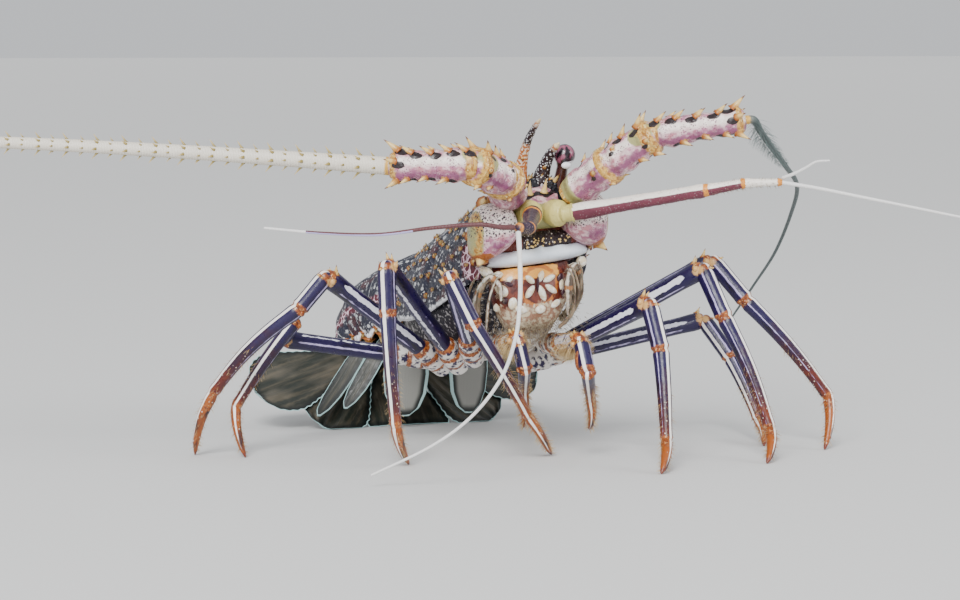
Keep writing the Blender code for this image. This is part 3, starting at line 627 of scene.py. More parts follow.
def flagellum_paint():
    """Cream-white whip of many short rings, with a pale pink line along it; the left whip is painted dark
    teal all over as shade.
    """
    paint = Paint("antenna_whip")
    paint.base(paint.noise(14.0, 2.0, (1, 0.6, 0.6)), (0.88, 0.84, 0.74), (0.80, 0.74, 0.64))
    paint.layer("plum", (0.55, 0.36, 0.36), 0.25, 1.5, 0.25, (0.4, 1, 1))
    rings = paint.rings(0.5, 0.5)
    paint.over(paint.times(paint.within(rings, 0.25, 0.0), 0.45), (0.42, 0.33, 0.24))
    # Painted shade: dark teal over the whole left whip.
    paint.layer("teal", (0.045, 0.070, 0.070), 3.0, 20.0, 6.0)
    paint.layer("amber", GOLD, 0.5, 1.6, 0.5)
    paint.bump((rings, 0.16), (paint.noise(0.8), 0.06))
    return paint.finish(0.42, 0.1)


def antennule_paint():
    """Maroon antennule stems with a white stripe on top."""
    paint = Paint("antennule_stem")
    paint.base(paint.noise(2.5, 4.0, (0.4, 1, 1)), (0.07, 0.008, 0.022), (0.19, 0.035, 0.06))
    paint.layer("grey", (0.030, 0.014, 0.035), 0.5, 2.0, 0.5)
    grains = paint.dots(1.0, 0.26, some=3.0)
    paint.over(paint.times(grains, 0.5), (0.45, 0.30, 0.32))
    paint.layer("white", (0.88, 0.82, 0.74), 0.18, 2.0, 0.12, (0.3, 1, 1))
    paint.layer("amber", (0.70, 0.26, 0.03), 0.3, 1.2, 0.3)
    paint.layer("olive", (0.60, 0.52, 0.17), 0.5, 3.0, 0.8)
    paint.layer("dark", INK, 0.15, 1.0, 0.2)
    paint.bump((grains, 0.2), (paint.noise(1.0, 3.0), 0.15))
    return paint.finish(0.38, 0.12)


def feeler_paint():
    """Thin feelers: ivory, with maroon and lilac where marked."""
    paint = Paint("feeler")
    paint.base(paint.noise(9.0), (0.80, 0.80, 0.80), (0.88, 0.87, 0.84))
    paint.layer("maroon", (0.085, 0.006, 0.010), 0.3, 6.0, 0.25, (0.2, 1, 1))
    paint.layer("lilac", (0.46, 0.42, 0.74), 0.12, 3.0, 0.12, (0.2, 1, 1))
    rings = paint.rings(0.55)
    paint.over(paint.times(paint.within(rings, 0.3, 0.0), 0.35), (0.35, 0.30, 0.30))
    paint.bump((rings, 0.1))
    return paint.finish(0.4, 0.1)


def eye_paint():
    """Dark glossy eye, streaked maroon and pink, with a painted white highlight."""
    paint = Paint("eye_ball")
    streaks = paint.clouds(0.45, 0.62, 3.0, 3.0, (0.35, 1, 1), distort=0.6)
    paint.base(streaks, (0.008, 0.003, 0.008), (0.30, 0.08, 0.14))
    # The white is a painted highlight, a glint on each eye; it also covers the white knob on the left eye.
    paint.layer("white", (0.84, 0.86, 0.88), 0.3, 2.0, 0.3)
    paint.layer("maroon", (0.05, 0.012, 0.012), 0.4, 1.5, 0.4)
    paint.bump((paint.cells(0.28), 0.02))
    return paint.finish(0.14, 0.04, 0.6)


def horn_paint():
    """Horn over the eye: banded dark, orange and white, with a cream tip."""
    paint = Paint("horn")
    tip = paint.tip(1.6, 3.0, 0.10)
    paint.base(paint.within(tip, 0.18, 0.30), (0.03, 0.012, 0.012), (0.50, 0.16, 0.04))
    streak = paint.clouds(0.5, 0.58, 1.2, shift=2.0)
    paint.over(paint.times(streak, paint.within(tip, 0.24, 0.4)), (0.86, 0.76, 0.62))
    shade = paint.times(paint.within(tip, 0.60, 0.66), paint.within(tip, 0.96, 0.88))
    paint.over(shade, (0.02, 0.01, 0.014))
    paint.over(paint.times(paint.dots(1.0, 0.32), shade), (0.78, 0.80, 0.84))
    paint.over(paint.within(tip, 0.95, 1.02), (0.80, 0.66, 0.42))
    paint.bump((paint.noise(0.9, 3.0), 0.2))
    return paint.finish(0.36, 0.1)


# Colours of a leg from its cold base to its warm foot
LEG_RAMP = (
    (0.22, INDIGO), (0.48, (0.030, 0.003, 0.016)), (0.70, (0.095, 0.010, 0.006)), (1.0, (0.30, 0.070, 0.006)),
)


def leg_paint():
    """Indigo legs, maroon and rust towards the foot, with white and lilac stripes and rusty joints."""
    paint = Paint("striped_leg")
    warm = paint.math("MULTIPLY_ADD", paint.noise(5.0, 3.0), 0.6, -0.3)
    warm = paint.math("ADD", paint.mark("warm"), warm)
    ramp = paint.node("ShaderNodeValToRGB")
    stops = ramp.color_ramp.elements
    for index, (position, colour) in enumerate(LEG_RAMP):
        stop = stops[index] if index < 2 else stops.new(position)
        stop.position = position
        stop.color = (*colour, 1)
    paint.feed(ramp, Fac=warm)
    streaks = paint.clouds(0.5, 0.75, 3.0, 3.0, (0.3, 1, 1), 2.0)
    paint.base(streaks, ramp.outputs["Color"], (0.005, 0.003, 0.012))
    paint.layer("white_patch", (0.78, 0.74, 0.70), 1.0, 2.6, 0.2)
    paint.layer("lilac", LILAC, 0.16, 1.4, 0.10, (0.45, 1, 1), 3.0)
    paint.layer("ragged", (0.80, 0.80, 0.90), 0.42, 1.3, 0.10, (0.5, 1, 1), 6.0)
    pores = paint.times(paint.dots(1.6, 0.2, some=5.0, shift=3.0), paint.within(warm, 0.35, 0.6))
    paint.over(pores, (0.72, 0.60, 0.50))
    rust = paint.mix(paint.clouds(0.40, 0.62, 1.3, 3.0, shift=12.0), (0.16, 0.035, 0.012), RUST)
    rust = paint.mix(paint.clouds(0.60, 0.70, 1.0, shift=15.0), rust, (0.70, 0.42, 0.18))
    paint.layer("amber", rust, 0.55, 1.6, 0.4)
    paint.layer("rust", (0.16, 0.028, 0.012), 0.5, 1.6, 0.3, shift=4.0)
    paint.layer("white", (0.90, 0.86, 0.82), 0.10, 2.2, 0.10, (0.4, 1, 1))
    paint.layer("cream", (0.62, 0.36, 0.13), 0.5, 1.0, 0.5)
    paint.bump((paint.noise(1.6, 3.0, (0.5, 1, 1)), 0.16), (pores, 0.14))
    return paint.finish(0.34, 0.1, 0.1)


def underside_paint():
    """Pale beige underside with brown and purple blotches, and painted shade on its upper sides."""
    paint = Paint("underside")
    paint.base(paint.clouds(0.4, 0.62, 3.2, 3.0), (0.56, 0.50, 0.42), (0.30, 0.24, 0.20))
    paint.over(paint.clouds(0.58, 0.64, 2.0, 3.0, shift=5.0), (0.10, 0.04, 0.12))
    paint.over(paint.clouds(0.6, 0.68, 2.6, shift=8.0), (0.48, 0.16, 0.05))
    paint.layer("white", (0.80, 0.78, 0.74), 0.6, 2.0, 0.3)
    # Painted shade: near black with pale flecks, wherever the dark mark of the underside plate is positive.
    flecks = paint.clouds(0.56, 0.62, 1.5, 3.0, shift=2.0)
    paint.layer("dark", paint.mix(flecks, (0.012, 0.010, 0.018), (0.42, 0.40, 0.40)), 1.2, 3.0, 1.2)
    paint.bump((paint.noise(1.4, 3.0), 0.3))
    return paint.finish(0.45, 0.12)


def mouth_paint():
    """Mouthparts: orange, dark red and white plates."""
    paint = Paint("mouth")
    paint.base(paint.clouds(0.42, 0.6, 4.0), (0.07, 0.010, 0.008), (0.16, 0.03, 0.014))
    paint.layer("orange", (0.78, 0.36, 0.06), 0.7, 2.4, 0.3)
    paint.layer("amber", (0.46, 0.15, 0.03), 0.4, 1.5, 0.25)
    cream = paint.mix(paint.clouds(0.4, 0.6, 1.6, shift=6.0), (0.86, 0.83, 0.74), (0.74, 0.62, 0.42))
    paint.layer("white", cream, 0.25, 1.6, 0.15)
    paint.layer("dark", (0.035, 0.006, 0.016), 0.25, 1.5, 0.15)
    pale = paint.mix(paint.clouds(0.42, 0.6, 2.0, 3.0, shift=3.0), (0.30, 0.15, 0.09), (0.62, 0.52, 0.36))
    paint.layer("mottle", pale, 2.2, 1.8, 0.4)
    paint.bump((paint.noise(1.8), 0.25))
    return paint.finish(0.32, 0.1, 0.2)


def strand_paint():
    """Grey-brown, half clear strands and palps round the mouth."""
    paint = Paint("mouth_strand")
    paint.base(paint.clouds(0.4, 0.62, 2.2, 4.0, (0.3, 1, 1)), (0.075, 0.052, 0.034), (0.30, 0.23, 0.155))
    paint.layer("white", (0.62, 0.56, 0.48), 0.5, 1.8, 0.3)
    paint.layer("amber", (0.34, 0.14, 0.045), 0.4, 1.4, 0.3)
    paint.bump((paint.noise(0.8, 3.0, (0.3, 1, 1)), 0.2))
    paint.feed(paint.shader, Subsurface_Weight=0.25, Subsurface_Scale=0.002)
    return paint.finish(0.35, 0.1)


def fan_paint():
    """Tail fan and swimming leaves: streaked brown-green, black near the rim, with a thin pale rim."""
    paint = Paint("fan_blade")
    paint.base(paint.clouds(0.42, 0.68, 2.6, 4.0, (1, 0.08, 1)), (0.016, 0.020, 0.015), (0.070, 0.060, 0.040))
    middle = paint.clouds(0.4, 0.7, 11.0, 2.0, (1, 0.5, 1), 7.0)
    paint.over(paint.times(middle, 0.5), (0.15, 0.13, 0.10))
    paint.layer("grey", (0.24, 0.24, 0.22), 0.6, 4.0, 2.2)
    paint.over(paint.within(paint.mark("edge"), 4.0, 1.2), (0.006, 0.009, 0.008))
    sway = paint.math("MULTIPLY_ADD", paint.noise(1.6, 3.0), 0.22, 0.26)
    rim = paint.math("ADD", paint.times(paint.mark("edge"), -1.0), sway)
    paint.over(paint.within(rim, -0.20, -0.04), (0.42, 0.62, 0.62))
    ribs = paint.noise(1.1, 2.0, (1, 0.05, 1), 3.0)
    paint.bump((ribs, 0.25), (paint.noise(0.7), 0.08))
    return paint.finish(0.42, 0.12)


def bristle_paint(name, root, tip, roughness=0.45):
    """Bristles from a root colour to a tip colour."""
    paint = Paint(name)
    paint.base(paint.within(paint.tip(1.0, 2.0, 0.4, -0.2), 0.0, 0.9), root, tip)
    paint.bump((paint.noise(0.4), 0.03))
    return paint.finish(roughness, 0.08)


SHELL = shell_paint()
SPINE = spine_paint()
FACE_WHITE = face_white_paint()
LEDGE = ledge_paint()
PEDUNCLE = peduncle_paint()
FLAGELLUM = flagellum_paint()
ANTENNULE = antennule_paint()
FEELER = feeler_paint()
EYE = eye_paint()
HORN = horn_paint()
LEG = leg_paint()
UNDERSIDE = underside_paint()
MOUTH = mouth_paint()
STRAND = strand_paint()
FAN = fan_paint()
GOLD_BRISTLE = bristle_paint("golden_bristle", (0.35, 0.16, 0.04), (0.72, 0.55, 0.28))
GREY_BRISTLE = bristle_paint("grey_bristle", (0.18, 0.13, 0.08), (0.46, 0.38, 0.26))
# Hairs of the left whip: dim teal-grey, painted shade like the whip itself.
SHADE_TEAL_BRISTLE = bristle_paint("teal_bristle", (0.10, 0.13, 0.12), (0.16, 0.22, 0.22))
WHIP_SPINE = bristle_paint("whip_spine", (0.24, 0.18, 0.04), (0.62, 0.46, 0.18), 0.34)


# Back shell

SHELL_STATIONS = (
    (36, 57, 80, 25), (33, 54, 86, 30), (22, 54, 92, 33), (6, 56, 98, 34), (-8, 60, 103, 32.5),
    (-22, 66, 109, 31), (-36, 73, 114, 28.5), (-46, 78, 117, 25.5), (-50, 79.5, 116, 22.5),
)
SHELL_POWER = 2.3
HEAD_TILT = 0.10
TILT_REACH = 86.0
SHELL_ROWS = 150
SHELL_COLUMNS = 150
BELLY_COLUMNS = 30
FACE_Y = -50.4


def tilt_at(y):
    """The head leans to its right, and the lean fades out towards the tail."""
    return HEAD_TILT * np.clip((SHELL_STATIONS[0][0] - y) / TILT_REACH, 0, 1)


def shell_point(station, turn):
    """A point of the back shell at a smoothed station and an angle from its left margin."""
    y, margin, back, half = station
    x = math.copysign(abs(math.cos(turn)) ** (2 / SHELL_POWER), math.cos(turn)) * half
    z = margin + (back - margin) * math.sin(turn) ** (2 / SHELL_POWER)
    return np.array((x, y, z + x * tilt_at(y)))


def shell_spines(table):
    """Roots, directions and sizes of the shell's spines, in rows that shrink towards the tail."""
    found = []
    rows = len(table)
    for row, share in enumerate(np.linspace(0.06, 0.94, 15)):
        station = table[int(share * (rows - 1))]
        count = 15 if row % 2 else 14
        for place in range(count):
            turn = math.pi * (place + 0.75 + DRAW.uniform(-0.18, 0.18)) / (count + 0.5)
            if not 0.12 < turn < math.pi - 0.12:
                continue
            root = shell_point(station, turn)
            ahead = shell_point(station, turn + 0.02) - shell_point(station, turn - 0.02)
            out = unit(np.cross(ahead, (0, 1, 0)))
            out = out if out[2] * math.sin(turn) + out[0] * math.cos(turn) > 0 else -out
            size = (0.35 + 0.65 * share ** 1.5) * DRAW.uniform(0.7, 1.15)
            if place in (5, 8) and row % 2 == 0:
                size *= 1.35
            found.append((root, unit(out * 0.75 + np.array((0, -1.0, 0.12))), size))
    return found


# Welts and grooves across the back shell: place from head to tail, half width, height
SHELL_WELTS = ((29.5, 1.3, -1.1), (33.5, 1.5, 0.8), (-49, 1.2, 0.9))
# Large spines of the shell's front edge: place, height and side, size
EDGE_SPINES = ((-49, 112, 22, 1.5), (-49, 99, 28.2, 1.1), (-48, 88, 25.8, 0.9))
# Millimetres from one column of the shell to the next, near its margin
COLUMN_STEP = 0.62


def build_shell():
    """The back shell: a flecked dome with grooves, a rim, and many forward spines on low swellings."""
    table = smooth_route(SHELL_STATIONS, SHELL_ROWS)
    turns = np.linspace(0, math.pi, SHELL_COLUMNS)
    ring = SHELL_COLUMNS + BELLY_COLUMNS
    grid = np.empty((SHELL_ROWS, ring, 3))
    for row, station in enumerate(table):
        grid[row, :SHELL_COLUMNS] = [shell_point(station, turn) for turn in turns]
        left, right = grid[row, SHELL_COLUMNS - 1], grid[row, 0]
        inner = np.linspace(0, 1, BELLY_COLUMNS + 2)[1:-1, None]
        line = left + (right - left) * inner
        line[:, 2] += 3.0 * np.sin(np.pi * inner[:, 0])
        grid[row, SHELL_COLUMNS:] = line
    spines = shell_spines(table)
    normals = surface_normals(grid)
    lift = np.zeros(grid.shape[:2])
    amber = np.full(grid.shape[:2], NO_MARK)
    for root, _, size in spines:
        far = np.linalg.norm(grid - root, axis=-1)
        lift += 0.85 * size * np.exp(-(far / (1.9 + 0.5 * size)) ** 2)
        amber = np.maximum(amber, (0.5 + 0.5 * size - far) if size > 0.5 else NO_MARK)
    y = grid[..., 1]
    across = np.abs(grid[..., 0])
    groove_line = -6 - 0.018 * np.maximum(0, 34 - across) ** 1.6
    lift -= 2.0 * np.exp(-((y - groove_line) / 1.9) ** 2)
    for at, half, height in SHELL_WELTS:
        lift += height * np.exp(-((y - at) / half) ** 2)
    column = np.arange(ring)
    upper = column < SHELL_COLUMNS
    margin_far = np.minimum(column, np.abs(SHELL_COLUMNS - 1 - column)) * COLUMN_STEP
    lift += np.where(upper, 0.8 * np.exp(-(margin_far / 1.6) ** 2), 0)[None, :]
    lift *= np.where(upper, 1.0, 0.0)[None, :]
    grid = grid + normals * lift[..., None]
    white = np.where(upper, 0.5 - margin_far, NO_MARK)[None, :] + np.zeros_like(y)
    corner = np.hypot((y + 46) / 9.0, (grid[..., 2] - 87 - grid[..., 0] * HEAD_TILT) / 9.0)
    dark = np.where(upper, NO_MARK, 3.0)[None, :] + np.zeros_like(y)
    shape = Shape()
    add_closed(shape, grid, {
        "amber": amber,
        "white": np.where((y > -30) & (y < 30), white, NO_MARK),
        "maroon": np.where(upper[None, :] & (across > 17), (1 - corner) * 6, NO_MARK),
        "dark": np.maximum(dark, np.where(y < -49.2, 1.0, NO_MARK)),
    })
    shape.make("carapace_shell", SHELL, ["carapace"])
    build_shell_spines(spines)


def surface_normals(grid):
    """Outward directions at the corners of a grid that is closed round its columns."""
    along = np.gradient(grid, axis=0)
    around = (np.roll(grid, -1, axis=1) - np.roll(grid, 1, axis=1)) / 2
    normals = unit(np.cross(along, around))
    middle = grid.mean(axis=1, keepdims=True)
    facing = np.sign((normals * (grid - middle)).sum(-1).mean())
    return normals * (facing if facing else 1)


def build_shell_spines(spines):
    """The shell's spines, each with a short fringe of golden bristles before it."""
    shape = Shape()
    fringe = Shape()
    for index, (root, direction, size) in enumerate(spines):
        add_spine(shape, root, direction, 1.2 + 4.2 * size, 0.55 + 0.75 * size, hook=(0, -0.18, 0.16))
        if size < 0.35:
            continue
        for step in range(5):
            spread = np.array((DRAW.uniform(-1, 1), DRAW.uniform(-0.4, 0.1), DRAW.uniform(-0.5, 0.5)))
            start = root + direction * 0.4 + spread * (0.8 + 0.6 * size)
            patch = (0.02 + 0.9 * (index % 17) / 17 + step * 0.008, 0.02 + 0.9 * (index // 17) / 14)
            add_hair(fringe, start, direction + spread * 0.25, 1.6 + 1.6 * size, 0.09, (0, 0, 0.1), patch)
    for side in (1, -1):
        for y, z, x, size in EDGE_SPINES:
            root = leaning(side * x, y, z - 2)
            add_spine(shape, root, (side * 0.35, -1, 0.25), 6.4 * size, 1.6 * size, hook=(0, -0.1, 0.15))
    shape.make("carapace_spines", SPINE, ["carapace"])
    fringe.make("carapace_bristles", GOLD_BRISTLE, ["carapace"], patched=True)


# Underside plate between the legs

# Sections of the underside plate: place from tail to head, level, half width below
STERNUM_STATIONS = (
    (33, 38, 21), (22, 35, 23), (6, 36, 21), (-8, 38, 17), (-22, 41, 13), (-36, 46, 11), (-44, 50, 9),
)


def build_sternum():
    """The underside plate, with a low ridge for each pair of legs."""
    shell = smooth_route(SHELL_STATIONS, 400)
    order = np.argsort(shell[:, 0])
    rows = []
    for y, low, below in smooth_route(STERNUM_STATIONS, 90):
        margin = np.interp(y, shell[order, 0], shell[order, 1]) + 1.2
        wide = np.interp(y, shell[order, 0], shell[order, 3]) - 2.6
        middle = (wide * 0.55 + below * 0.5, (margin + low) / 2)
        half = smooth_route(((wide, margin), middle, (below, low + 2), (below * 0.45, low), (0, low)), 22)
        ridge = 0.7 * math.cos(2 * math.pi * (y - 8) / 13.5)
        half[:, 1] -= ridge * np.linspace(0, 1, 22)
        whole = np.vstack((half, half[-2::-1] * (-1, 1)))
        x, z = whole.T
        rows.append(np.stack((x, np.full(len(x), y), z + x * tilt_at(y)), -1))
    grid = np.array(rows)
    x, y, z = np.moveaxis(grid, -1, 0)
    low = np.interp(-y, [-row[0] for row in STERNUM_STATIONS], [row[1] for row in STERNUM_STATIONS])
    shape = Shape()
    # The dark mark is painted shade on the plate's upper sides, which are tucked under the shell's margin.
    add_closed(shape, grid, {"white": 1.5 * np.sin(x * 0.5) * np.cos(y * 0.46) - 0.4,
                                "dark": z - x * tilt_at(y) - low - 5.0})
    shape.make("sternum_plate", UNDERSIDE, ["sternum"])


# Face

EPISTOME_HALF_WIDTH = 24.4
EPISTOME_BULGE = 9.0
EPISTOME_LEVEL = 86.1
LEDGE_LEVEL = 91.6
LEDGE_SPECKS = 30
MOUTH_SHIFT = -1.8
MOUTH_MOVE = np.array((MOUTH_SHIFT, 0, 0))


def upright(grid):
    """Heights of places on the head with its lean taken out."""
    return grid[..., 2] - grid[..., 0] * HEAD_TILT


def face_ring(x, turns, foot, reach, power, behind, middle, half):
    """A ring of a piece that lies across the face: it bulges forward by its reach, and a little behind."""
    ahead = reach * np.maximum(0, np.cos(turns)) ** power
    y = FACE_Y + foot - ahead + behind * np.maximum(0, -np.cos(turns))
    return leaning(x, y, middle + np.sin(turns) * half)


def bar_depth(share):
    """How far forward the white bar reaches at a share of its half width."""
    return 1.6 + EPISTOME_BULGE * math.sqrt(1 - min(0.97, share ** 2))


def build_epistome():
    """The smooth white bar above the mouth, and the black ledge over it with its golden specks."""
    turns = full_turn(36)
    bar, ledge = [], []
    for share in np.linspace(-0.995, 0.995, 90):
        x = EPISTOME_HALF_WIDTH * share
        depth = bar_depth(share)
        taper = (1 - abs(share) ** 3.0) ** 0.6
        wave = 0.35 * math.cos(share * 17) + 1.3 * math.exp(-(share / 0.045) ** 2)
        half = 0.6 + 3.5 * taper + np.where(np.sin(turns) > 0, wave * taper, 0)
        bar.append(face_ring(x, turns, 0.6, depth, 0.7, 1.5, EPISTOME_LEVEL - 0.5 * share ** 2, half))
        reach = depth - 2.4 * (1 - 0.6 * share ** 2)
        ledge.append(face_ring(x, turns, 0.4, reach, 0.55, 1.2, LEDGE_LEVEL, 4.2 - 3.2 * share ** 2))
    bar, ledge = np.array(bar), np.array(ledge)
    shape = Shape()
    add_closed(shape, bar, {"maroon": np.abs(bar[..., 0]) - 22.6})
    shape.make("epistome_bar", FACE_WHITE, ["epistome"])
    shape = Shape()
    rough = DRAW.uniform(-0.22, 0.3, ledge.shape[:2])
    ends = np.maximum(-ledge[..., 0] - 8.5, ledge[..., 0] - 14.5)
    add_closed(shape, ledge + surface_normals(ledge) * rough[..., None], {"maroon": ends})
    shape.make("epistome_ledge", LEDGE, ["epistome"])
    specks = Shape()
    for _ in range(LEDGE_SPECKS):
        x = DRAW.uniform(-8, 14)
        z = 91.2 + DRAW.uniform(-1.2, 3.0)
        depth = bar_depth(x / EPISTOME_HALF_WIDTH) - 2.4
        size = DRAW.uniform(0.25, 0.55)
        add_ball(specks, leaning(x, FACE_Y - depth + 0.2, z), (size, size, size), {"tip": 0.62})
    specks.make("epistome_specks", SPINE, ["epistome"])


def build_face_wall():
    """The maroon wall behind the face, between the antenna bases and the white bar."""
    rows = []
    for x in np.linspace(-27, 27, 60):
        low = 81 + 0.3 * max(0, abs(x) - 16)
        high = 99 - 0.25 * max(0, abs(x) - 14)
        bulge = 4.6 * math.sqrt(max(0.02, 1 - (x / 28) ** 2))
        rows.append(face_ring(x, full_turn(28), 0.8, bulge, 0.8, 0.0, (low + high) / 2, (high - low) / 2))
    grid = np.array(rows)
    shape = Shape()
    white = 3.6 - np.hypot(np.abs(grid[..., 0]) - 23, upright(grid) - 82.5)
    add_closed(shape, grid, {"maroon": 3.0, "white": white})
    shape.make("face_wall", MOUTH, ["epistome"])


FACE_PLATE_LOW = 95.4


def build_face_plate():
    """The plate between the antennae, with a black rim and its pair of cream spines."""
    rows = []
    for x in np.linspace(-9.6, 9.6, 44):
        high = 114.2 - 0.03 * x * x + 0.8 * math.exp(-((abs(x) - 4.2) / 1.8) ** 2)
        middle, half = (FACE_PLATE_LOW + high) / 2, (high - FACE_PLATE_LOW) / 2
        rows.append(face_ring(x, full_turn(32), 0.4, 4.6, 0.6, 0.0, middle, half))
    grid = np.array(rows)
    level = upright(grid)
    rim = 0.9 - np.abs(level - 111.2 - 0.6 * np.cos(grid[..., 0] * 0.75))
    shape = Shape()
    add_closed(shape, grid, {"dark": rim, "olive": 107.5 - level})
    for side in (1, -1):
        root = leaning(side * 3.4, FACE_Y - 3.0, 112.6)
        add_spine(shape, root, (side * 0.06, -0.35, 1.0), 6.2, 1.35, finish=1, marks={"tip": 0.62})
    shape.make("antennular_face", [PEDUNCLE, SPINE], ["antennular_plate"])


def add_plate(shape, centre, size, turn, marks, bulge):
    """Join a small leaf-shaped plate of the mouth that faces forward, turned by degrees."""
    rows = []
    turns = full_turn(14)
    for share in np.linspace(-0.98, 0.98, 15):
        width = size[1] * (1 - abs(share) ** 2.2) ** 0.7
        out = np.sin(turns) * bulge * (1 - abs(share) ** 2) ** 0.5
        rows.append(np.stack((np.full_like(turns, share * size[0]), out, np.cos(turns) * width), -1))
    long, out, wide = np.moveaxis(np.array(rows), -1, 0)
    angle = math.radians(turn)
    x = long * math.cos(angle) - wide * math.sin(angle)
    z = long * math.sin(angle) + wide * math.cos(angle)
    add_closed(shape, np.stack((x, -out, z), -1) + np.asarray(centre, float), marks)


# Levels of the mouth's dome: height, half width, reach forward
MOUTH_LEVELS = (
    (81.6, 16.5, 7.0), (77, 18, 9.5), (70, 17.5, 10.5), (63, 15, 9.5), (57, 11.5, 7), (54.5, 8, 4.5),
)
MOUTH_MIDDLE = (-0.9, 74.2)
# White plates of the mouth: place across and up, half length and half width, turn in degrees, bulge
MOUTH_PLATES = (
    (-4.0, 76.6, 2.3, 1.15, 142, 1.2), (0.8, 77.3, 2.4, 1.1, 68, 1.2), (4.6, 76.0, 2.7, 1.1, 24, 1.2),
    (-4.3, 71.6, 2.9, 1.2, 234, 1.3), (1.0, 70.4, 3.3, 1.25, 292, 1.4), (5.3, 71.6, 2.8, 1.15, 326, 1.3),
    (-14.2, 72.7, 4.4, 1.9, -24, 1.3), (-11.0, 67.6, 2.6, 1.7, 250, 1.3), (-15.6, 66.0, 2.0, 1.6, 30, 1.1),
    (-7.6, 64.6, 2.6, 1.5, -14, 1.0), (7.8, 65.0, 2.4, 1.3, 30, 1.0), (10.6, 72.6, 2.2, 1.0, 84, 1.0),
    (-12.2, 77.6, 1.6, 1.0, 30, 0.9), (0.6, 63.6, 2.2, 1.5, 10, 1.0),
)


def mouth_front(x, z):
    """How far forward the mouth's dome reaches at a place across and up."""
    levels = np.array(MOUTH_LEVELS)[::-1]
    half = np.interp(z, levels[:, 0], levels[:, 1])
    depth = np.interp(z, levels[:, 0], levels[:, 2])
    return FACE_Y - depth * math.sqrt(max(0.05, 1 - (x / half) ** 2))


# Dark plates: place across and up, half length and half width, turn
DARK_PLATES = (
    (-14.0, 68.8, 1.5, 1.4, 0), (-0.9, 74.4, 3.4, 0.6, 90), (-12.6, 75.6, 2.2, 1.0, -20),
    (9.8, 75.8, 2.0, 1.2, 60), (11.6, 69.6, 2.2, 1.2, 80),
)
# White blotches beside the mouth: place, half length and half width, turn
SIDE_PLATES = (
    (-22.6, -53.2, 81.4, 3.6, 2.2, -30), (-18.4, -55.4, 80.0, 2.4, 1.6, 10),
    (20.6, -53.4, 80.6, 2.4, 2.4, 60),
)


def build_mouth():
    """The closed mouth: a dark red dome with orange above, and white plates set round the middle."""
    rows = []
    turns = full_turn(56)
    turned_ahead = np.cos(turns) > 0
    away = np.abs(np.cos(turns))
    for z, half, depth in smooth_route(MOUTH_LEVELS, 60):
        y = FACE_Y + np.where(turned_ahead, -depth * away ** 0.8, 5.0 * away ** 0.5)
        rows.append(leaning(np.sin(turns) * half, y, z) + MOUTH_MOVE)
    grid = np.array(rows)
    x = grid[..., 0] - MOUTH_SHIFT
    z = upright(grid)
    ring = np.hypot(x - MOUTH_MIDDLE[0] - 1.0, z - MOUTH_MIDDLE[1] + 0.6)
    shape = Shape()
    add_closed(shape, grid, {
        "orange": np.minimum(2.6 - np.abs(z - 79.6 + (x + 3) * 0.06), 12.5 - np.abs(x + 2.5)),
        "amber": 0.8 - np.abs(ring - 8.2),
        "mottle": np.minimum(66.5 - z, 5.0),
    })
    for x, z, long, wide, turn, bulge in MOUTH_PLATES:
        centre = leaning(x, mouth_front(x, z) - 0.35, z) + MOUTH_MOVE
        add_plate(shape, centre, (long * 1.12, wide * 1.2), turn, {"white": 0.5}, bulge)
    for x, z, long, wide, turn in DARK_PLATES:
        centre = leaning(x, mouth_front(x, z) - 0.8, z) + MOUTH_MOVE
        add_plate(shape, centre, (long, wide), turn, {"dark": 1.0}, 0.9)
    for x, y, z, long, wide, turn in SIDE_PLATES:
        add_plate(shape, leaning(x, y, z), (long, wide), turn, {"white": 0.4}, 1.6)
    shape.make("mouth_plates", MOUTH, ["mouthparts"])


MAXILLIPED_ROUTE = (
    (18, -46.6, 56), (20.8, -52, 62), (21.8, -55, 69), (20.6, -57.5, 75.5), (17.8, -60.4, 79.4),
    (14.4, -62.4, 75.5), (13.9, -62.8, 69.5), (14.4, -61.6, 64), (15.2, -59, 59.5),
)
MAXILLIPED_PROFILE = (
    (0, 2.2), (0.2, 2.5), (0.42, 1.9), (0.5, 2.1), (0.56, 1.6), (0.72, 1.9), (0.78, 1.4), (0.9, 1.3),
    (1, 0.5),
)
MAXILLIPED_STRANDS = (
    ((19.5, -51, 57), (22.6, -55.5, 66), (22.0, -57.5, 74), (18.5, -60, 80.2), (14.5, -61.5, 80.5)),
    ((16.5, -53, 55), (18.8, -59.5, 63), (18.6, -61.5, 71), (16.2, -62.4, 78), (13.4, -62.4, 81)),
    ((13.0, -55, 54), (16.4, -60.5, 60), (16.6, -62.4, 68), (15.4, -63.4, 75.5), (13.0, -63.2, 79.5)),
    ((20.8, -48, 57), (24.2, -50.5, 66), (24.0, -53.5, 75), (21.5, -56, 81)),
)
STRAND_PROFILE = ((0, 1.0), (0.3, 1.25), (0.8, 0.8), (1, 0.3))
# The right feeding leg shows less of its tip and one strand fewer than the left
RIGHT_ROUTE_POINTS = 7
RIGHT_STRAND_MISSING = 2
MAXILLIPED_HAIRS = 300
# How far the feeding legs stand beside the places given for them
FEELING_SHIFT = {1: MOUTH_SHIFT * 1.8, -1: MOUTH_SHIFT * 3.4}


def side_route(points, side):
    """Points of the left feeding leg, or their twins of the right one, leaning with the head."""
    route = np.array(points, float) * (side, 1, 1)
    route[:, 2] += route[:, 0] * HEAD_TILT
    route[:, 0] += FEELING_SHIFT[side]
    return route


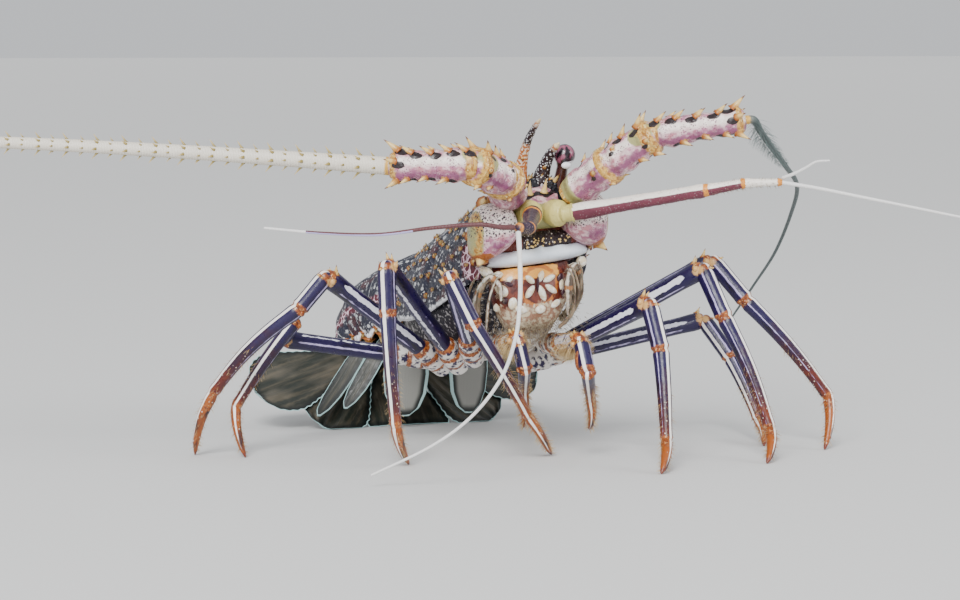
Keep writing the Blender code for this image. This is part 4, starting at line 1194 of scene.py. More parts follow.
def build_maxilliped(label, side):
    """A feeding leg that frames the mouth: a folded leg beside slim strands, with fine hairs."""
    shape = Shape()
    route = side_route(MAXILLIPED_ROUTE, side)
    fine = smooth_route(route if side > 0 else route[:RIGHT_ROUTE_POINTS], 90)
    radius = read_curve(MAXILLIPED_PROFILE, np.linspace(0, 1, 90))
    limb = Limb(fine, radius * 0.95, radius * 0.75, up=(side, 0, 0.2), sides=18)
    amber = limb.bands((limb.length * 0.5, 1.2), (limb.length * 0.76, 0.8))
    add_limb(shape, limb, {"white": limb.stripe(30, 0.7), "amber": amber})
    for index, points in enumerate(MAXILLIPED_STRANDS):
        if side < 0 and index == RIGHT_STRAND_MISSING:
            continue
        slim = read_curve(STRAND_PROFILE, np.linspace(0, 1, 44))
        fine = smooth_route(side_route(points, side), 44)
        strand = Limb(fine, slim * 0.9, slim * 0.55, up=(side, 0, 0.2), sides=12)
        add_limb(shape, strand, {"white": strand.stripe(20 + 50 * index, 0.3)})
    node = f"maxilliped_{label}"
    shape.make(f"{node}_strands", STRAND, [node])
    hairs = Shape()
    for _ in range(MAXILLIPED_HAIRS):
        at = DRAW.uniform(0.02, 0.98) * limb.length
        point, out, heading = limb.spot(at, DRAW.uniform(-180, 180))
        flow = out * DRAW.uniform(0.3, 0.9) + heading * 0.5 + DRAW.uniform(-0.3, 0.3, 3)
        patch = (0.01 + 0.97 * at / limb.length, 0.01 + 0.97 * DRAW.uniform())
        add_hair(hairs, point, flow, DRAW.uniform(1.0, 2.6), 0.08, (0, -0.1, -0.25), patch)
    hairs.make(f"{node}_hairs", GREY_BRISTLE, [node], patched=True)


BEARD_HAIRS = 2200
BEARD_LEVEL = 57


def build_beard():
    """The fuzzy patch of greenish-grey hairs below the mouth."""
    hairs = Shape()
    for _ in range(BEARD_HAIRS):
        x = DRAW.normal(0, 8.5)
        z = min(BEARD_LEVEL + DRAW.normal(0, 4.2), 63.0)
        y = FACE_Y - 1 - 7.5 * math.exp(-(x / 13) ** 2) * DRAW.uniform(0.3, 1.0)
        flow = np.array((x * 0.03, -0.7, -0.35)) + DRAW.uniform(-0.5, 0.5, 3)
        patch = np.clip((0.5 + x / 60, 0.5 + (z - BEARD_LEVEL) / 36), 0.01, 0.98)
        root = leaning(x, y, z) + MOUTH_MOVE
        add_hair(hairs, root, flow, DRAW.uniform(0.8, 2.2), 0.11, (0, -0.1, -0.35), patch)
    hairs.make("mouth_beard", GREY_BRISTLE, ["mouthparts"], patched=True)


# Horns and eyes

HORNS = {"R": ((-5.6, -47.5, 115), (-8, -76, 143.6)), "L": ((4.2, -47.5, 116.5), (6.8, -61, 133))}
HORN_PROFILES = {
    "R": ((-0.12, 4.3), (0.08, 3.3), (0.3, 2.2), (0.6, 1.55), (0.85, 1.1), (0.96, 0.6), (1.0, 0.15)),
    "L": ((-0.12, 4.2), (0.1, 3.4), (0.35, 2.5), (0.7, 1.9), (0.9, 1.2), (1.0, 0.3)),
}
# Small spines at the foot of a horn: share of its length, degrees from the top
HORN_SPINES = ((0.12, 150), (0.18, -30), (0.3, 70), (0.42, -120))
EYES = {"L": ((12.5, -47.5, 113), (13.1, -52.3, 127.7)), "R": ((-11.5, -46.5, 111), (-16.5, -48.5, 118.8))}
EYE_RADIUS = 4.6
STALK_PROFILE = ((0, 3.2), (0.3, 2.6), (0.5, 2.4), (0.62, 3.2))
EYE_GLINT_DEGREES = {"L": 25, "R": -10}


def build_horn(label):
    """A horn over the eye; the left one is a short regrowing stub."""
    base, tip = (np.array(point, float) for point in HORNS[label])
    length = np.linalg.norm(tip - base)
    bend = np.array((0, 0.1, 0.06)) * length
    share = np.linspace(-0.12, 1, 60)
    ahead = np.maximum(0, share)
    route = base + (tip - base) * share[:, None] + bend * (4 * ahead * (1 - ahead))[:, None]
    radius = read_curve(HORN_PROFILES[label], share)
    limb = Limb(route, radius, up=(1, 0, 0), sides=22, domes=(0.1, 0.3))
    share = limb.run / limb.length
    tip_mark = limb.along(share if label == "R" else 0.64 + 0.4 * share ** 3)
    shape = Shape()
    add_limb(shape, limb, {"tip": tip_mark}, DRAW.uniform(-0.12, 0.18, limb.size))
    for at, degrees in HORN_SPINES:
        point, out, heading = limb.spot(at * limb.length, degrees)
        add_spine(shape, point, out + heading * 0.6, 2.6, 0.7, finish=1)
    shape.make(f"horn_{label}_blade", [HORN, SPINE], [f"horn_{label}"])


def build_eye(label):
    """A dark round eye on a short stalk."""
    foot, centre = (np.array(point, float) for point in EYES[label])
    axis = unit(centre - foot)
    reach = np.linalg.norm(centre - foot)
    share = np.linspace(0, 1, 50)
    run = share * (reach + EYE_RADIUS * 0.985)
    ball = np.sqrt(np.maximum(0.02, EYE_RADIUS ** 2 - (run - reach) ** 2))
    ball = np.where(np.abs(run - reach) < EYE_RADIUS, ball, 0)
    radius = np.maximum(np.where(run < reach - 1.5, read_curve(STALK_PROFILE, share), 0), ball)
    limb = Limb(foot + axis * run[:, None], radius, up=(0, -1, 0), sides=30, domes=(0.1, 0.2))
    # The white oval is a painted highlight, a glint on the eye.
    white = limb.oval(reach - 3.4, EYE_GLINT_DEGREES[label], 2.3, 2.6)
    shape = Shape()
    add_limb(shape, limb, {"maroon": limb.along(reach - 2.8 - limb.run), "white": white})
    if label == "L":
        add_ball(shape, centre + (-0.6, -3.4, -4.3), (2.3, 1.4, 1.5), {"white": 1.0})
    shape.make(f"eye_{label}_ball", EYE, [f"eye_{label}"])


# Antennae

BASE_STATIONS = ((-47.5, 20.4, 96, 8.6, 12.4), (-50.6, 21, 97, 9.2, 13), (-56, 21.2, 97, 9.7, 13.3),
                 (-62, 20.6, 97.5, 8.4, 11.6), (-67, 19.6, 99, 5.4, 7.6))
ANTENNA_JOINTS = {
    "L": ((14.5, -58, 112), (24.5, -75, 124.9), (38, -88, 137), (70.2, -104.5, 143)),
    "R": ((-14.5, -58, 111), (-24, -74, 119.4), (-42.7, -86, 125.6), (-70.5, -69.5, 125)),
}
ANTENNA_RADII = {"L": ((7.6, 8.2), (7.6, 7.2), (6.6, 5.2)), "R": ((7.6, 8.4), (8.0, 7.6), (7.2, 6.0))}
ANTENNA_WHIPS = {
    "L": ((70.9, -104.85, 143.1), (75, -105.2, 142.9), (81, -99, 138.5), (92, -86, 132.5), (115, -58, 121.5),
          (138.7, -24.4, 111), (157.7, 16.5, 96), (174.5, 63.6, 74.5), (188, 112, 54), (198.4, 156, 33.6)),
    "R": ((-71, -69.2, 125), (-110, -53, 128), (-160, -33, 131.5), (-217.5, -10, 134.6), (-280, 24, 136),
          (-325, 68, 133), (-352, 122, 127), (-366, 180, 119)),
}
WHIP_DIAMETERS = {"L": (3.8, 1.0), "R": (7.6, 2.2)}


def build_antenna_base(label, side):
    """The fixed block that carries an antenna: white above with dark pores, lilac below, an orange corner."""
    turns = full_turn(60)
    across = squared(np.cos(turns), 0.8)
    above = squared(np.sin(turns), 0.8)
    rows = []
    for y, x, z, wide, high in smooth_route(BASE_STATIONS, 60):
        rise = np.maximum(0, -above) * high * 0.62 * (1 - across) / 2
        rows.append(leaning((x + across * wide) * side, y, z + above * high + rise))
    grid = np.array(rows)
    level = upright(grid) - 97
    outward = grid[..., 0] * side - 21
    shape = Shape()
    add_closed(shape, grid, {
        "white": level - 1.0,
        "pores": level,
        "plum": 3.0 - np.hypot((outward - 1.0) / 1.2, level + 3.0),
        "olive": outward - 7.0,
        "amber": 0.8 - np.abs(outward - 8.2),
        "rust": 4.2 - np.hypot(outward - 5.5, level + 10.5),
    })
    corner = leaning(side * 27.0, -57.5, 87.6)
    add_spine(shape, corner, (side * 0.55, -0.6, -0.6), 5.4, 2.3, finish=1)
    for x, y, z in ((24, -61, 106.5), (16, -60.5, 107.5)):
        add_spine(shape, leaning(side * x, y, z), (side * 0.2, -0.7, 0.6), 3.4, 1.0, finish=1)
    shape.make(f"antenna_base_{label}_block", [PEDUNCLE, SPINE], [f"antenna_base_{label}"])


# Spines of each stem length: share of its length, degrees from the top, size
STEM_SPINES = {
    "merus": (
        (0.62, 20, 0.8), (0.7, -60, 0.9), (0.8, 100, 0.8), (0.86, -20, 1.1), (0.9, 160, 0.7),
        (0.88, -120, 0.8),
    ),
    "carpus": (
        (0.26, 10, 0.9), (0.30, 60, 0.7), (0.52, 24, 1.2), (0.58, -70, 1.0), (0.62, 150, 0.9),
        (0.84, -20, 1.3), (0.88, 36, 1.3), (0.90, 100, 0.8), (0.86, -110, 1.1), (0.9, 160, 1.0),
    ),
    "stem": (
        (0.10, 22, 1.1), (0.22, -30, 0.9), (0.30, 30, 1.1), (0.34, 138, 1.0), (0.3, -140, 0.9),
        (0.52, 34, 1.1), (0.5, -30, 0.9), (0.58, 134, 0.9), (0.55, -140, 0.8), (0.76, 30, 1.1),
        (0.74, -36, 0.9), (0.8, 140, 0.9), (0.79, -140, 0.9), (0.93, 12, 1.4), (0.94, -60, 1.1),
        (0.95, 70, 1.0), (0.94, 150, 1.2), (0.93, -150, 1.1),
    ),
}
# Thickness along a stem length, as pairs of a share of it and a share of its radius
STEM_PROFILE = (
    (-0.1, 0.80), (0.05, 0.88), (0.18, 1.03), (0.45, 0.95), (0.72, 0.97), (0.86, 1.06), (0.95, 1.03),
    (1.0, 0.9),
)


def spread_mark(marks, name, more):
    """Add another marking of the same kind to a limb's marks."""
    marks[name] = np.maximum(marks[name], more) if name in marks else more


def stem_marks(limb, part, label, side):
    """Bands, stripes and blotches of one length of an antenna, before those of its spines."""
    marks = {
        # The white stripe is a painted highlight along the side of each stem turned towards the camera.
        "white": limb.stripe(side * 70, 1.9 if part == "stem" else 2.2),
        "amber": limb.bands((limb.length * 0.97, 1.4), (0, 1.0)),
        "plum": limb.stripe(side * 128, 1.8),
    }
    if part == "merus":
        marks["olive"] = limb.oval(limb.length * 0.9, side * 12, 5.0, 3.0)
        if label == "L":
            spread_mark(marks, "olive", limb.band(limb.length * 0.1, limb.length * 0.16))
        spread_mark(marks, "plum", limb.oval(limb.length * 0.75, side * 100, 4.2, 3.4))
    if part == "carpus":
        marks["olive"] = limb.oval(limb.length * 0.84, side * 60, 5.6, 5.6)
        spread_mark(marks, "amber", limb.band(limb.length * 0.90, 2.4))
    if part == "stem":
        marks["olive"] = limb.oval(0.0, side * 40, 4.6, 4.2)
        spread_mark(marks, "amber", limb.band(0, 3.0))
    marks["dark"] = limb.all(NO_MARK)
    return marks


def build_peduncle(label, side):
    """The three thick lengths of an antenna, with flared golden rims, dark blotches and gold spines."""
    joints = [np.array(joint, float) for joint in ANTENNA_JOINTS[label]]
    for index, part in enumerate(("merus", "carpus", "stem")):
        start, end = joints[index], joints[index + 1]
        near, far = ANTENNA_RADII[label][index]
        length = np.linalg.norm(end - start)
        heading = unit(end - start)
        share = np.linspace(-1.5 / length, 1.0, 76)
        radius = (near + (far - near) * np.clip(share, 0, 1)) * read_curve(STEM_PROFILE, share)
        route = start + (end - start) * share[:, None]
        limb = Limb(route, radius, radius * 0.97, sides=48, domes=(0.35, 0.3))
        marks = stem_marks(limb, part, label, side)
        lift = 0.35 * np.sin(limb.run * 0.9)[:, None] * np.cos(np.radians(limb.degrees * 2))[None, :]
        shape = Shape()
        for at, degrees, size in STEM_SPINES[part]:
            run = at * limb.length
            degrees = degrees * side
            point, out, ahead = limb.spot(run, degrees)
            bulge = np.exp(-(np.maximum(0, 1.8 - limb.oval(run, degrees, 1.8, 1.8)) / 2.2) ** 2)
            lift = lift + 0.8 * size * bulge
            blotch = 1.55 * size if part == "stem" else 1.25 * size
            spread_mark(marks, "dark", limb.oval(run - 2.1 * size, degrees + side * 14, 1.7 * blotch, blotch))
            spread_mark(marks, "amber", limb.oval(run + 0.2, degrees, 1.4 * size, 1.2 * size))
            root = point + out * 0.5 * size
            direction = out * 0.9 + ahead * 0.75
            add_spine(shape, root, direction, 4.6 * size, 1.25 * size, hook=ahead * 0.25, finish=1)
        add_limb(shape, limb, marks, lift)
        route = start + heading * (length - np.linspace(2.6, 0.8, 10))[:, None]
        rim = Limb(route, far * 1.05, far * 1.02, sides=40, domes=(0.05, 0.05))
        add_limb(shape, rim, {"amber": rim.all(1.0)})
        node = f"antenna_{part}_{label}"
        shape.make(f"{node}_shell", [PEDUNCLE, SPINE], [node])


# Rows of small spines on the right whip, in degrees from the top: whole rows, rows that miss every other
# spine, and rows of taller spines
WHIP_SPINE_ROWS = (0, -50, -104, -172)
WHIP_SPARSE_ROWS = (56, 110, 160)
WHIP_TALL_ROWS = (0, -172)
WHIP_SPINE_STEP = 5.9
WHIP_HAIRS = 420


def build_whip(label):
    """A long whip of many short rings: the right one carries rows of small spines, and the left one is plain
    and painted dark as shade.
    """
    count = 620
    first, last = (size / 2 for size in WHIP_DIAMETERS[label])
    radius = first + (last - first) * np.linspace(0, 1, count) ** 0.8
    limb = Limb(smooth_route(ANTENNA_WHIPS[label], count), radius, sides=18, domes=(0.2, 0.8))
    marks = {"plum": limb.stripe(38 if label == "R" else -38, limb.thick(0.16)), "amber": limb.band(0, 2.2)}
    # The left whip's teal mark paints shade: dark teal all along the whip.
    if label == "L":
        marks["teal"] = limb.along(limb.run + 2)
    shape = Shape()
    add_limb(shape, limb, marks)
    names = [f"antenna_whip_{label}_{half}" for half in (1, 2)]
    shape.make(f"antenna_whip_{label}_rings", FLAGELLUM, names)
    if label == "L":
        return
    spines = Shape()
    for index in range(int((limb.length - 12) / WHIP_SPINE_STEP)):
        run = 7 + index * WHIP_SPINE_STEP
        size = 1.0 - 0.6 * run / limb.length
        big = 1.25 if index % 2 else 0.85
        for degrees in WHIP_SPINE_ROWS + (() if index % 2 else WHIP_SPARSE_ROWS):
            tall = 1.45 if degrees in WHIP_TALL_ROWS else 1.0
            point, out, ahead = limb.spot(run + DRAW.uniform(-0.5, 0.5), degrees + DRAW.uniform(-6, 6))
            direction = out * 0.95 + ahead * 0.7
            add_spine(spines, point, direction, 2.5 * size * big * tall, 0.5 * size * big, sides=6)
    spines.make(f"antenna_whip_{label}_spines", WHIP_SPINE, names)


def build_whip_hairs():
    """The wedge of hairs at the foot of the left whip, painted a dim teal-grey as shade."""
    hairs = Shape()
    limb = Limb(smooth_route(ANTENNA_WHIPS["L"], 200), 1.8, sides=12)
    for _ in range(WHIP_HAIRS):
        run = DRAW.uniform(0, 1) ** 0.8 * 62 + 1
        degrees = DRAW.choice((90, -90, 150, -150)) + DRAW.uniform(-25, 25)
        add_limb_hair(hairs, limb, run, degrees, 0.9, 7.5 * (1 - run / 75), 0.07, (0, 0, -0.2), 66)
    hairs.make("antenna_whip_L_hairs", SHADE_TEAL_BRISTLE, ["antenna_whip_L_1"], patched=True)


# Antennules

ANTENNULE_JOINTS = {
    "L": ((10.5, -67.5, 104.4), (54.9, -103.7, 114.6), (67.9, -111.2, 117.5), (81.6, -116.6, 117.9)),
    "R": ((-9.5, -70.5, 103.6), (-30, -115.8, 101.7), (-37, -122, 102.3)),
}
ANTENNULE_RADII = {"L": (3.8, 2.7, 2.0, 1.5), "R": (3.6, 2.6, 1.9)}
# Whips of the antennules: points of the route, and the thickness at its foot and at its end
ANTENNULE_WHIPS = {
    "antennule_outer_L": ((
        (82.1, -117.1, 117.7), (94, -123.8, 115.6), (112, -133.3, 111.6), (130, -142.7, 107.6),
        (145.5, -151, 104.1), (156, -156, 102),
    ), (1.8, 0.9)),
    "antennule_inner_L": ((
        (83.1, -115.6, 119.6), (86, -120, 121.5), (89.1, -124, 124), (92, -127.5, 126.5),
        (95.8, -131, 127),
    ), (1.6, 0.9)),
    "antennule_outer_R": ((
        (-37.8, -123.6, 100.6), (-39.8, -130, 90), (-41.4, -133.9, 75), (-43.9, -135, 59.6),
        (-49.3, -132.8, 43.9), (-59.4, -126.6, 28.8), (-72.5, -117, 16.8), (-92.3, -104.7, 5.1),
    ), (2.1, 1.0)),
    "antennule_inner_R": ((
        (-39.6, -122.6, 102.6), (-46, -124.5, 103), (-56, -125.5, 104.3), (-75, -124.5, 103.3),
        (-94.6, -119, 101), (-114, -106.5, 101.3), (-132, -93, 102.8),
    ), (2.3, 1.0)),
}
# The bulb at the foot of an antennule, with places forward of the face
BULB_ROUTE = ((6.1, -2.4, 103.6), (6.1, -7.5, 103.8), (6.2, -11.5, 103.8), (6.8, -14.5, 103.7))
BULB_PROFILE = ((0, 4.3), (0.35, 5.1), (0.75, 4.9), (1, 3.6))
BULB_END_RADIUS = 3.9
ANTENNULE_PROFILE = ((0, 0.94), (0.08, 1.04), (0.3, 0.94), (0.85, 0.98), (0.95, 1.12), (1, 1.0))
ANTENNULE_HAIRS = 150


def antennule_marks(limb, index, label, side):
    """Marks of one length of an antennule: a white top on the left one, grey all over on the right one."""
    if label == "R":
        return {"amber": limb.band(limb.length, 0.5), "grey": limb.all(1.0)}
    if index == 0:
        return {"amber": limb.band(limb.length, 0.5), "olive": limb.all(1.0)}
    white = limb.all(1.0) if index == 3 else limb.stripe(side * 32, limb.thick(0.42))
    return {"amber": limb.band(limb.length, 1.5), "white": white}


def build_antennule(label, side):
    """A slim feeler's stem: a yellow-olive bulb on the face, then jointed lengths with a white top."""
    shape = Shape()
    bulb_route = smooth_route([(side * x, FACE_Y + y, z) for x, y, z in BULB_ROUTE], 40)
    size = read_curve(BULB_PROFILE, np.linspace(0, 1, 40))
    bulb = Limb(bulb_route, size, size * 1.14, sides=36, domes=(0.3, 0.4))
    add_limb(shape, bulb, {
        "olive": bulb.all(2.0),
        "amber": bulb.oval(bulb.length * 0.96, -40 * side, 1.6, 1.5),
        "dark": bulb.stripe(0, 1.6) - np.maximum(0, bulb.run - 6)[:, None],
    })
    joints = [bulb_route[-1], *(np.array(joint, float) for joint in ANTENNULE_JOINTS[label])]
    radii = (BULB_END_RADIUS, *ANTENNULE_RADII[label])
    share = np.linspace(0, 1, 50)
    for index, (start, end, near, far) in enumerate(zip(joints[:-1], joints[1:], radii[:-1], radii[1:])):
        radius = (near + (far - near) * share) * read_curve(ANTENNULE_PROFILE, share)
        limb = Limb(start + (end - start) * share[:, None], radius, radius * 0.96, sides=26, domes=(0.4, 0.5))
        marks = antennule_marks(limb, index, label, side)
        add_limb(shape, limb, marks, DRAW.uniform(-0.08, 0.12, limb.size))
    node = f"antennule_{label}"
    shape.make(f"{node}_stem", ANTENNULE, [node])
    hairs = Shape()
    for start, end, radius in zip(joints[1:-1], joints[2:], radii[2:]):
        limb = Limb(np.linspace(start, end, 30), radius, sides=12)
        for _ in range(ANTENNULE_HAIRS):
            run = DRAW.uniform(0, limb.length)
            degrees = DRAW.choice((180, 120, -120, 30)) + DRAW.uniform(-30, 30)
            long = DRAW.uniform(0.8, 1.7)
            add_limb_hair(hairs, limb, run, degrees, 0.6, long, 0.06, (0, 0, -0.1), limb.length)
    hairs.make(f"{node}_hairs", GREY_BRISTLE, [node], patched=True)


def build_feelers():
    """The thin whips of the antennules; the right inner one is maroon and lilac up to its ivory end."""
    share = np.linspace(0, 1, 160)
    for name, (points, (first, last)) in ANTENNULE_WHIPS.items():
        radius = (first + (last - first) * share ** 0.8) / 2
        limb = Limb(smooth_route(points, len(share)), radius, sides=14, domes=(0.5, 1.0))
        marks = {}
        if name == "antennule_inner_R":
            coloured = limb.along(limb.run) < limb.length * 0.84
            striped = coloured & (limb.along(limb.run) > limb.length * 0.42)
            marks["maroon"] = np.where(coloured, 1.0, NO_MARK)
            marks["lilac"] = np.where(striped, limb.stripe(-150, limb.thick(0.55)), NO_MARK)
        shape = Shape()
        add_limb(shape, limb, marks)
        shape.make(f"{name}_whip", FEELER, [name])


# Walking legs: base, knee, wrist, ankle, tip, thickness, bow of the long lower length, turn of its stripe,
# and turn and half width of the ragged band on the thigh
LEGS = {
    "1_R": ((-11.5, -42, 47), (-17, -73, 53), (-12.5, -70, 40.5), (-5, -51.5, 28), (-2, -44, 12),
            0.86, 0.0, 0, -70, 0.5),
    "2_R": ((-19.5, -29, 43), (-47, -73, 80), (-37, -74, 60), (-7, -61, 19), (9, -48.5, 0),
            0.95, 1.5, 0, 160, 0.9),
    "3_R": ((-22, -15.5, 39), (-69, -58, 84), (-69, -60, 64), (-67.5, -65, 18), (-57, -52, 0),
            1.0, 0.6, 0, -172, 0.6),
    "4_R": ((-25.5, -3, 37), (-86, -32, 78), (-97, -29, 64.5), (-127, -4.5, 28), (-131.5, 8, 0),
            1.0, 3.2, 14, -52, 1.15),
    "5_R": ((-27, 12, 37), (-88.5, 19, 47), (-90, -1, 56), (-116, -0.5, 21), (-114, -7.5, 0),
            0.94, 0.8, 10, -45, 0.42),
    "1_L": ((11, -42, 47), (10, -77, 51.5), (9.5, -85, 39.5), (19, -67, 26), (23, -56.5, 11.5),
            0.9, 0.0, 0, 60, 0.5),
    "2_L": ((20.5, -30, 43), (37, -86, 67), (39, -93, 48), (36, -105, 12), (28.5, -116, 0),
            1.0, 0.5, 4, 100, 0.95),
    "3_L": ((23.5, -15.5, 39.4), (72, -65, 79), (77, -76, 58.5), (89.5, -94, 13), (82, -106, 0),
            1.0, 1.6, 12, 88, 1.15),
    "4_L": ((25, -2.5, 38), (89, -40, 80), (100, -51, 63), (130.5, -70, 22), (124, -79, 0),
            1.0, 1.4, 22, 80, 1.0),
    "5_L": ((27, 11, 33.6), (97.5, -15, 51.6), (105, -27, 35.4), (109, -46, 10), (105, -59, 0),
            0.94, 0.6, 132, 98, 0.75),
}
LEG_SIDES = 30
SHORT_THIGH = 45
RUSTY_LEGS = ("2_R", "1_L", "1_R")
# Thickness along each length of a leg, as pairs of a share of it and a radius
HIP_PROFILE = ((0, 4.9), (0.5, 5.1), (0.85, 5.3), (1, 4.6))
RING_PROFILE = ((0, 4.4), (0.4, 4.75), (0.8, 4.6), (1, 3.9))
THIGH_PROFILE = ((0, 3.2), (0.06, 3.55), (0.5, 3.65), (0.85, 3.75), (0.93, 4.0), (0.97, 3.9), (1, 3.3))
KNEE_PROFILE = ((0, 3.3), (0.15, 3.85), (0.5, 3.75), (0.85, 3.7), (0.95, 3.9), (1, 3.3))
SHIN_PROFILE = ((0, 3.1), (0.04, 3.6), (0.12, 3.4), (0.5, 3.05), (0.9, 2.55), (0.97, 2.75), (1, 2.3))
CLAW_PROFILE = ((0, 2.2), (0.08, 2.55), (0.4, 2.1), (0.75, 1.45), (0.95, 0.7), (1, 0.35))
BAND_PROFILE = ((0, -0.6), (0.06, 0.4), (0.2, 1), (0.86, 1), (0.94, -0.8), (1, -1))
# Spines of the knee: degrees from the top, size
THIGH_SPINES = ((12, 1.0), (-14, 0.8), (62, 0.6), (-62, 0.6))
KNEE_SPINES = ((10, 0.7), (-20, 0.6))


class Leg:
    """Joints, directions and measures of one walking leg."""

    def __init__(self, label, *sizes):
        self.label = label
        joints = [np.array(point, float) for point in sizes[:5]]
        self.base, self.knee, self.wrist, self.ankle, self.tip = joints
        self.scale, self.bow, self.turn, self.band_turn, self.band_half = sizes[5:]
        self.side = 1 if label.endswith("L") else -1
        self.front = 90 * self.side
        self.thigh = unit(self.knee - self.base)
        self.shin = unit(self.wrist - self.knee)
        self.lower = unit(self.ankle - self.wrist)
        self.outward = unit(self.thigh - self.lower * np.dot(self.thigh, self.lower))
        self.up = -unit(self.lower - self.thigh * np.dot(self.lower, self.thigh))
        self.up_shin = turned(self.up, self.thigh, self.shin)
        self.up_lower = turned(self.up_shin, self.shin, self.lower)
        self.short = np.linalg.norm(self.knee - self.base) < SHORT_THIGH

    def tube(self, route, profile, up, slim=1.0, tall=1.0, sides=LEG_SIDES, **bends):
        """A length of the leg along a route, with its thickness from a profile."""
        width = read_curve(profile, np.linspace(0, 1, len(route))) * self.scale
        return Limb(route, width * slim, width * tall, up=up, sides=sides, **bends)

    def add_spines(self, shape, limb, run, spines, length, radius, lean):
        """Join small spines round a limb at a place along it."""
        for degrees, size in spines:
            point, out, ahead = limb.spot(run, degrees)
            direction = out * lean[0] + ahead * lean[1]
            add_spine(shape, point, direction, length * size * self.scale,
                      radius * size * self.scale, finish=1)

    def add_knobs(self, shape, centre, heading, top, radius, degrees, marks):
        """Join the round knobs on both sides of a joint."""
        side = np.cross(heading, top)
        for turn in (degrees, -degrees):
            out = side * math.sin(math.radians(turn)) + top * math.cos(math.radians(turn))
            add_ball(shape, centre + out * radius, (1.25, 1.1, 1.35), marks)


def leg_marks(limb, warm, **marks):
    """Marks of a leg length, with how warm its colour is along it."""
    return {**marks, "warm": limb.along(np.interp(limb.run, (0, limb.length), warm))}


def build_thigh(leg):
    """The banded hip rings and the striped thigh, with knobs and spines at the knee."""
    shape = Shape()
    route = np.linspace(leg.base - leg.thigh * 5, leg.base + leg.thigh * 6.5, 30)
    hip = leg.tube(route, HIP_PROFILE, leg.up)
    amber = hip.bands((hip.length * 0.95, 0.9), (hip.length * 0.45, 0.6))
    add_limb(shape, hip, leg_marks(hip, (0.1, 0.1), white_patch=hip.all(0.22), amber=amber))
    route = np.linspace(leg.base + leg.thigh * 6, leg.base + leg.thigh * 12.5, 24)
    ring = leg.tube(route, RING_PROFILE, leg.up)
    amber = ring.bands((0.2, 0.9), (ring.length, 1.1))
    add_limb(shape, ring, leg_marks(ring, (0.1, 0.1), white_patch=ring.all(0.15), amber=amber))
    start = 9.0 if leg.short else 11.0
    span = leg.knee - leg.base - leg.thigh * (start + 1.0)
    route = leg.base + leg.thigh * start + span * np.linspace(0, 1, 84)[:, None]
    merus = leg.tube(route, THIGH_PROFILE, leg.up, 0.92, 1.06, power=2.2)
    ends = read_curve(BAND_PROFILE, np.clip(merus.run / merus.length, 0, 1))
    thin = np.maximum(merus.stripe(leg.band_turn + leg.side * 52, 0.34 * ends),
                      merus.stripe(leg.band_turn - leg.side * 46, 0.26 * ends))
    add_limb(shape, merus, leg_marks(
        merus, (0.0, 0.12),
        ragged=merus.stripe(leg.band_turn, leg.band_half * ends),
        lilac=np.maximum(thin, merus.stripe(-leg.front * 1.3, 0.3 * ends)),
        amber=merus.bands((merus.length + 0.3, 1.7), (-0.2, 1.2)),
        cream=merus.ovals(merus.length - 1.0, leg.front, 1.5, 1.9),
        white_patch=merus.all(0.25 if leg.short else NO_MARK)))
    knee = leg.knee - leg.thigh * 2.0
    leg.add_knobs(shape, knee, leg.thigh, leg.up, 3.25 * leg.scale, 75, {"cream": 0.6, "warm": 0.2})
    leg.add_spines(shape, merus, merus.length - 1.6, THIGH_SPINES, 4.4, 1.0, (0.75, 0.75))
    shape.make(f"leg_{leg.label}_thigh", [LEG, SPINE], [f"leg_{leg.label}_upper"])
    return merus


def build_shin(leg):
    """The short length below the knee and the long striped shin."""
    shape = Shape()
    span = leg.wrist - leg.knee - leg.shin * 0.8
    route = leg.knee + leg.shin * 0.4 + span * np.linspace(0, 1, 56)[:, None]
    carpus = leg.tube(route, KNEE_PROFILE, leg.up_shin, 0.95, power=2.15, domes=(0.8, 0.4))
    add_limb(shape, carpus, leg_marks(
        carpus, (0.1, 0.2),
        white=carpus.stripe(leg.turn, 0.8 * leg.scale),
        amber=np.maximum(carpus.band(carpus.length, 1.5), carpus.band(0, 1.4) * 0.8),
        lilac=carpus.stripes(leg.front * 0.95, 0.4, 0.36),
        cream=carpus.ovals(0.5, leg.front, 1.8, 1.4)))
    leg.add_spines(shape, carpus, 1.2, KNEE_SPINES, 2.6, 0.9, (1.0, 0.2))
    share = np.linspace(0, 1, 110)
    bend = leg.outward * leg.bow * np.sin(np.pi * share)[:, None]
    route = leg.wrist + (leg.ankle - leg.wrist) * share[:, None] + bend
    propodus = leg.tube(route, SHIN_PROFILE, leg.up_lower, 0.93, power=2.1)
    fade = np.clip(propodus.run / propodus.length, 0, 1)
    thinning = 1 - 0.9 * fade
    add_limb(shape, propodus, leg_marks(
        propodus, (0.05, 0.95 if leg.label in RUSTY_LEGS else 0.8),
        white=propodus.stripe(leg.turn, 0.78 * leg.scale * (1 - 0.35 * fade)),
        lilac=propodus.stripes(leg.front * 0.95, 0.30 * thinning, 0.36 * thinning),
        amber=propodus.bands((0, 1.2), (propodus.length, 1.8))))
    if leg.label == "1_L":
        lump = (leg.knee + leg.wrist) / 2 + (-2.4, 0.2, -1.5)
        add_ball(shape, lump, (1.7, 1.6, 4.4), {"amber": 1.0, "warm": 0.4})
    marks = {"amber": 0.8, "warm": 0.4}
    leg.add_knobs(shape, leg.wrist, leg.lower, leg.up_lower, 2.75 * leg.scale, 88, marks)
    shape.make(f"leg_{leg.label}_shin", [LEG, SPINE], [f"leg_{leg.label}_lower"])
    return propodus


